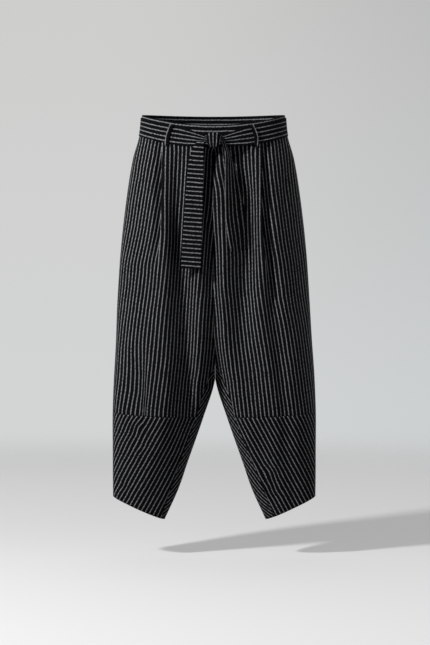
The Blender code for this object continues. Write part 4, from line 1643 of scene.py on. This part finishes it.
@dataclass
class Studio:
    """The pale studio: a floor that fades into the backdrop, both with painted light, a low soft key and a
    dim fill.
    """

    floor: float = -0.993
    lens: float = 200.0
    sensor: float = 36.0
    frame_height: float = 1.4512
    aim: tuple[float, float, float] = (0.0034, 0.0, -0.466)
    elevation: float = math.radians(4.5)
    far_clip: float = 60.0
    key_place: tuple[float, float, float] = (-2.63, -2.33, 2.19)
    key_aim: tuple[float, float, float] = (0.0, 0.0, -0.45)
    key_size: float = 0.46
    key_power: float = 141.0
    # the backdrop's greys, on the left and on the right, above and below, and at its foot, with painted
    # light: lighter on the left toward the key, and a darker band of painted shade at the foot
    high_greys: tuple[str, str] = ("#CECECC", "#BCBCBC")
    low_greys: tuple[str, str] = ("#D3D5D5", "#CCCFD0")
    foot_shade_grey: str = "#C4C7C7"
    # how they change from left to right, from high to low and toward the painted shade at the foot
    to_right: Fade = Fade(-0.035, 0.085, 0.0, 1.0)
    to_low: Fade = Fade(0.010, -0.100, 0.0, 1.0)
    to_foot_shade: Fade = Fade(-0.107, -0.121, 0.0, 1.0)
    # the fill that falls on the cloth from the left, from the right and from behind
    left_fill: Fade = Fade(0.3, -0.9, 0.05, 0.29)
    right_fill: Fade = Fade(0.45, 0.95, 0.0, 0.45)
    back_fill: Fade = Fade(0.2, 0.9, 0.0, 0.55)
    floor_radius: float = 2.6
    floor_corners: int = 96
    # the floor's paper as the camera sees it, the duller copy that the cloth is lit by, its glow of
    # painted light from near to far, and how it fades out toward its rim
    paper: str = "#D5D5D5"
    dull_paper: str = "#989898"
    painted_spill: Fade = Fade(-0.5, 0.6, 0.300, 0.245)
    rim: Fade = Fade(1.4, 2.5, 1.0, 0.0)

    def camera(self) -> None:
        """Place the camera in front, a little above, and set the plain view."""
        data = bpy.data.cameras.new("camera")
        data.lens = self.lens
        data.sensor_width = self.sensor
        distance = self.frame_height * self.lens / self.sensor
        camera = bpy.data.objects.new("camera", data)
        way = Vector((0, -math.cos(self.elevation), math.sin(self.elevation)))
        camera.location = Vector(self.aim) + way * distance
        camera.rotation_euler = (math.pi / 2 - self.elevation, 0, 0)
        data.clip_end = self.far_clip
        bpy.context.scene.collection.objects.link(camera)
        bpy.context.scene.camera = camera
        bpy.context.scene.view_settings.view_transform = "Standard"

    def lamps(self) -> None:
        """Hang the key light at the front left."""
        data = bpy.data.lights.new("key", "AREA")
        data.shape = "DISK"
        data.size = self.key_size
        data.energy = self.key_power
        lamp = bpy.data.objects.new("key", data)
        lamp.location = self.key_place
        toward = Vector(self.key_aim) - Vector(self.key_place)
        lamp.rotation_euler = toward.to_track_quat("-Z", "Y").to_euler()
        bpy.context.scene.collection.objects.link(lamp)

    def world(self) -> None:
        """Set the backdrop that the camera sees, with painted light: lighter on the left toward the key,
        and a band of painted shade at its foot; and a dimmer fill for the cloth from the left, the right
        and behind.
        """
        world = bpy.data.worlds.new("studio")
        world.use_nodes = True
        tree = world.node_tree
        tree.nodes.clear()
        place = node(tree, "ShaderNodeTexCoord", {}, {})
        split = node(tree, "ShaderNodeSeparateXYZ", {}, {0: place.outputs["Generated"]})
        out, back, up = split.outputs
        soft = {"interpolation_type": "SMOOTHSTEP"}
        # painted light: the backdrop is lighter on the left, toward the key, and painted shade darkens its
        # foot
        side = node(tree, "ShaderNodeMapRange", soft, self.to_right.along(out))
        height = node(tree, "ShaderNodeMapRange", {}, self.to_low.along(up))
        foot = node(tree, "ShaderNodeMapRange", soft, self.to_foot_shade.along(up))
        high, low = (
            node(tree, "ShaderNodeMix", {"data_type": "RGBA"},
                 {"Factor": side.outputs[0], 6: srgb(greys[0]), 7: srgb(greys[1])})
            for greys in (self.high_greys, self.low_greys)
        )
        wall = node(tree, "ShaderNodeMix", {"data_type": "RGBA"},
                    {"Factor": height.outputs[0], 6: high.outputs[2], 7: low.outputs[2]})
        backdrop = node(tree, "ShaderNodeMix", {"data_type": "RGBA"},
                        {"Factor": foot.outputs[0], 6: wall.outputs[2], 7: srgb(self.foot_shade_grey)})
        left = node(tree, "ShaderNodeMapRange", {}, self.left_fill.along(out))
        right = node(tree, "ShaderNodeMapRange", {}, self.right_fill.along(out))
        behind = node(tree, "ShaderNodeMapRange", {}, self.back_fill.along(back))
        sides = node(tree, "ShaderNodeMath", {"operation": "ADD"},
                     {0: left.outputs[0], 1: right.outputs[0]})
        fill = node(tree, "ShaderNodeMath", {"operation": "ADD"},
                    {0: sides.outputs[0], 1: behind.outputs[0]})
        grey = node(tree, "ShaderNodeCombineXYZ", {}, dict.fromkeys(range(3), fill.outputs[0]))
        path = node(tree, "ShaderNodeLightPath", {}, {})
        seen = node(tree, "ShaderNodeMix", {"data_type": "RGBA"},
                    {"Factor": path.outputs["Is Camera Ray"], 6: grey.outputs[0], 7: backdrop.outputs[2]})
        shade = node(tree, "ShaderNodeBackground", {}, {"Color": seen.outputs[2], "Strength": 1.0})
        node(tree, "ShaderNodeOutputWorld", {}, {"Surface": shade.outputs[0]})
        bpy.context.scene.world = world

    def floor_disc(self) -> None:
        """Lay the floor, a disc that fades out toward its rim, whose paper glows with painted light for
        the camera, brighter near than far, while the cloth is lit by a duller copy of it.
        """
        bpy.ops.mesh.primitive_circle_add(vertices=self.floor_corners, radius=self.floor_radius,
                                          fill_type="NGON", location=(0, 0, self.floor))
        disc = bpy.context.object
        disc.name = "floor"
        material = bpy.data.materials.new("paper_sweep")
        material.use_nodes = True
        tree = material.node_tree
        tree.nodes.clear()
        place = node(tree, "ShaderNodeTexCoord", {}, {})
        far = node(tree, "ShaderNodeVectorMath", {"operation": "LENGTH"}, {0: place.outputs["Object"]})
        fade = node(tree, "ShaderNodeMapRange", {"interpolation_type": "SMOOTHSTEP"},
                    self.rim.along(far.outputs["Value"]))
        paper = node(tree, "ShaderNodeBsdfDiffuse", {}, {"Color": srgb(self.paper)})
        dull = node(tree, "ShaderNodeBsdfDiffuse", {}, {"Color": srgb(self.dull_paper)})
        split = node(tree, "ShaderNodeSeparateXYZ", {}, {0: place.outputs["Object"]})
        painted_spill = node(tree, "ShaderNodeMapRange", {"interpolation_type": "SMOOTHSTEP"},
                     self.painted_spill.along(split.outputs[1]))
        # painted light: the paper glows for the camera, brighter near than far, which also lifts the
        # shadow on it
        glow = node(tree, "ShaderNodeEmission", {}, {"Color": (1, 1, 1, 1), "Strength": painted_spill.outputs[0]})
        lit = node(tree, "ShaderNodeAddShader", {}, {0: paper.outputs[0], 1: glow.outputs[0]})
        # the camera sees the glowing paper, other rays the duller copy: lit and shaded copies of one paper
        path = node(tree, "ShaderNodeLightPath", {}, {})
        near = node(tree, "ShaderNodeMixShader", {}, {0: path.outputs["Is Camera Ray"], 1: dull.outputs[0],
                                                       2: lit.outputs[0]})
        clear = node(tree, "ShaderNodeBsdfTransparent", {}, {})
        both = node(tree, "ShaderNodeMixShader", {}, {0: fade.outputs[0], 1: clear.outputs[0],
                                                       2: near.outputs[0]})
        node(tree, "ShaderNodeOutputMaterial", {}, {"Surface": both.outputs[0]})
        disc.data.materials.append(material)

    def build(self) -> None:
        """Set up the camera, the light and the floor."""
        self.camera()
        self.lamps()
        self.world()
        self.floor_disc()


def main() -> None:
    """Build the trousers and the studio."""
    logging.basicConfig(level=logging.INFO, format="%(name)s: %(message)s")
    Studio().build()
    form = Form(SECTIONS)
    front_relief = Relief(Face.FRONT, FRONT_FOLDS)
    back_relief = Relief(Face.BACK, BACK_FOLDS)
    suiting = WorstedSuiting("worsted_suiting").make()
    belting = WorstedSuiting("worsted_belting").make()
    for side in Side:
        Leg(side, form, front_relief, back_relief, suiting).build()
    hoop = Hoop(form)
    Waistband(hoop, suiting).build()
    Belt(hoop, belting).build()
    Knot(form, belting).build()
    Tail(form, belting, Side.LEFT, TAIL_LEFT, True, (0.046, 0.290)).build()
    Tail(form, belting, Side.RIGHT, TAIL_RIGHT, False, (0.040, 0.250), turn=0.037, hinge=0.30,
         roll=0.001).build()
    for name, side, face, x, lean, bow, twist in (
        ("loop_front_left", Side.LEFT, Face.FRONT, 0.0962, 0.0118, 0.0028, 0.0012),
        ("loop_front_right", Side.RIGHT, Face.FRONT, 0.0875, 0.0095, 0.0048, 0.0012),
        ("loop_back_left", Side.LEFT, Face.BACK, 0.105, 0.0020, 0.0, 0.0),
        ("loop_back_right", Side.RIGHT, Face.BACK, 0.105, -0.0015, 0.0, 0.0),
        ("loop_back_middle", Side.RIGHT, Face.BACK, 0.0, 0.0010, 0.0, 0.0),
    ):
        BeltLoop(form, suiting, name, side, face, x, lean, bow, twist).build()


if __name__ == "__main__":
    main()
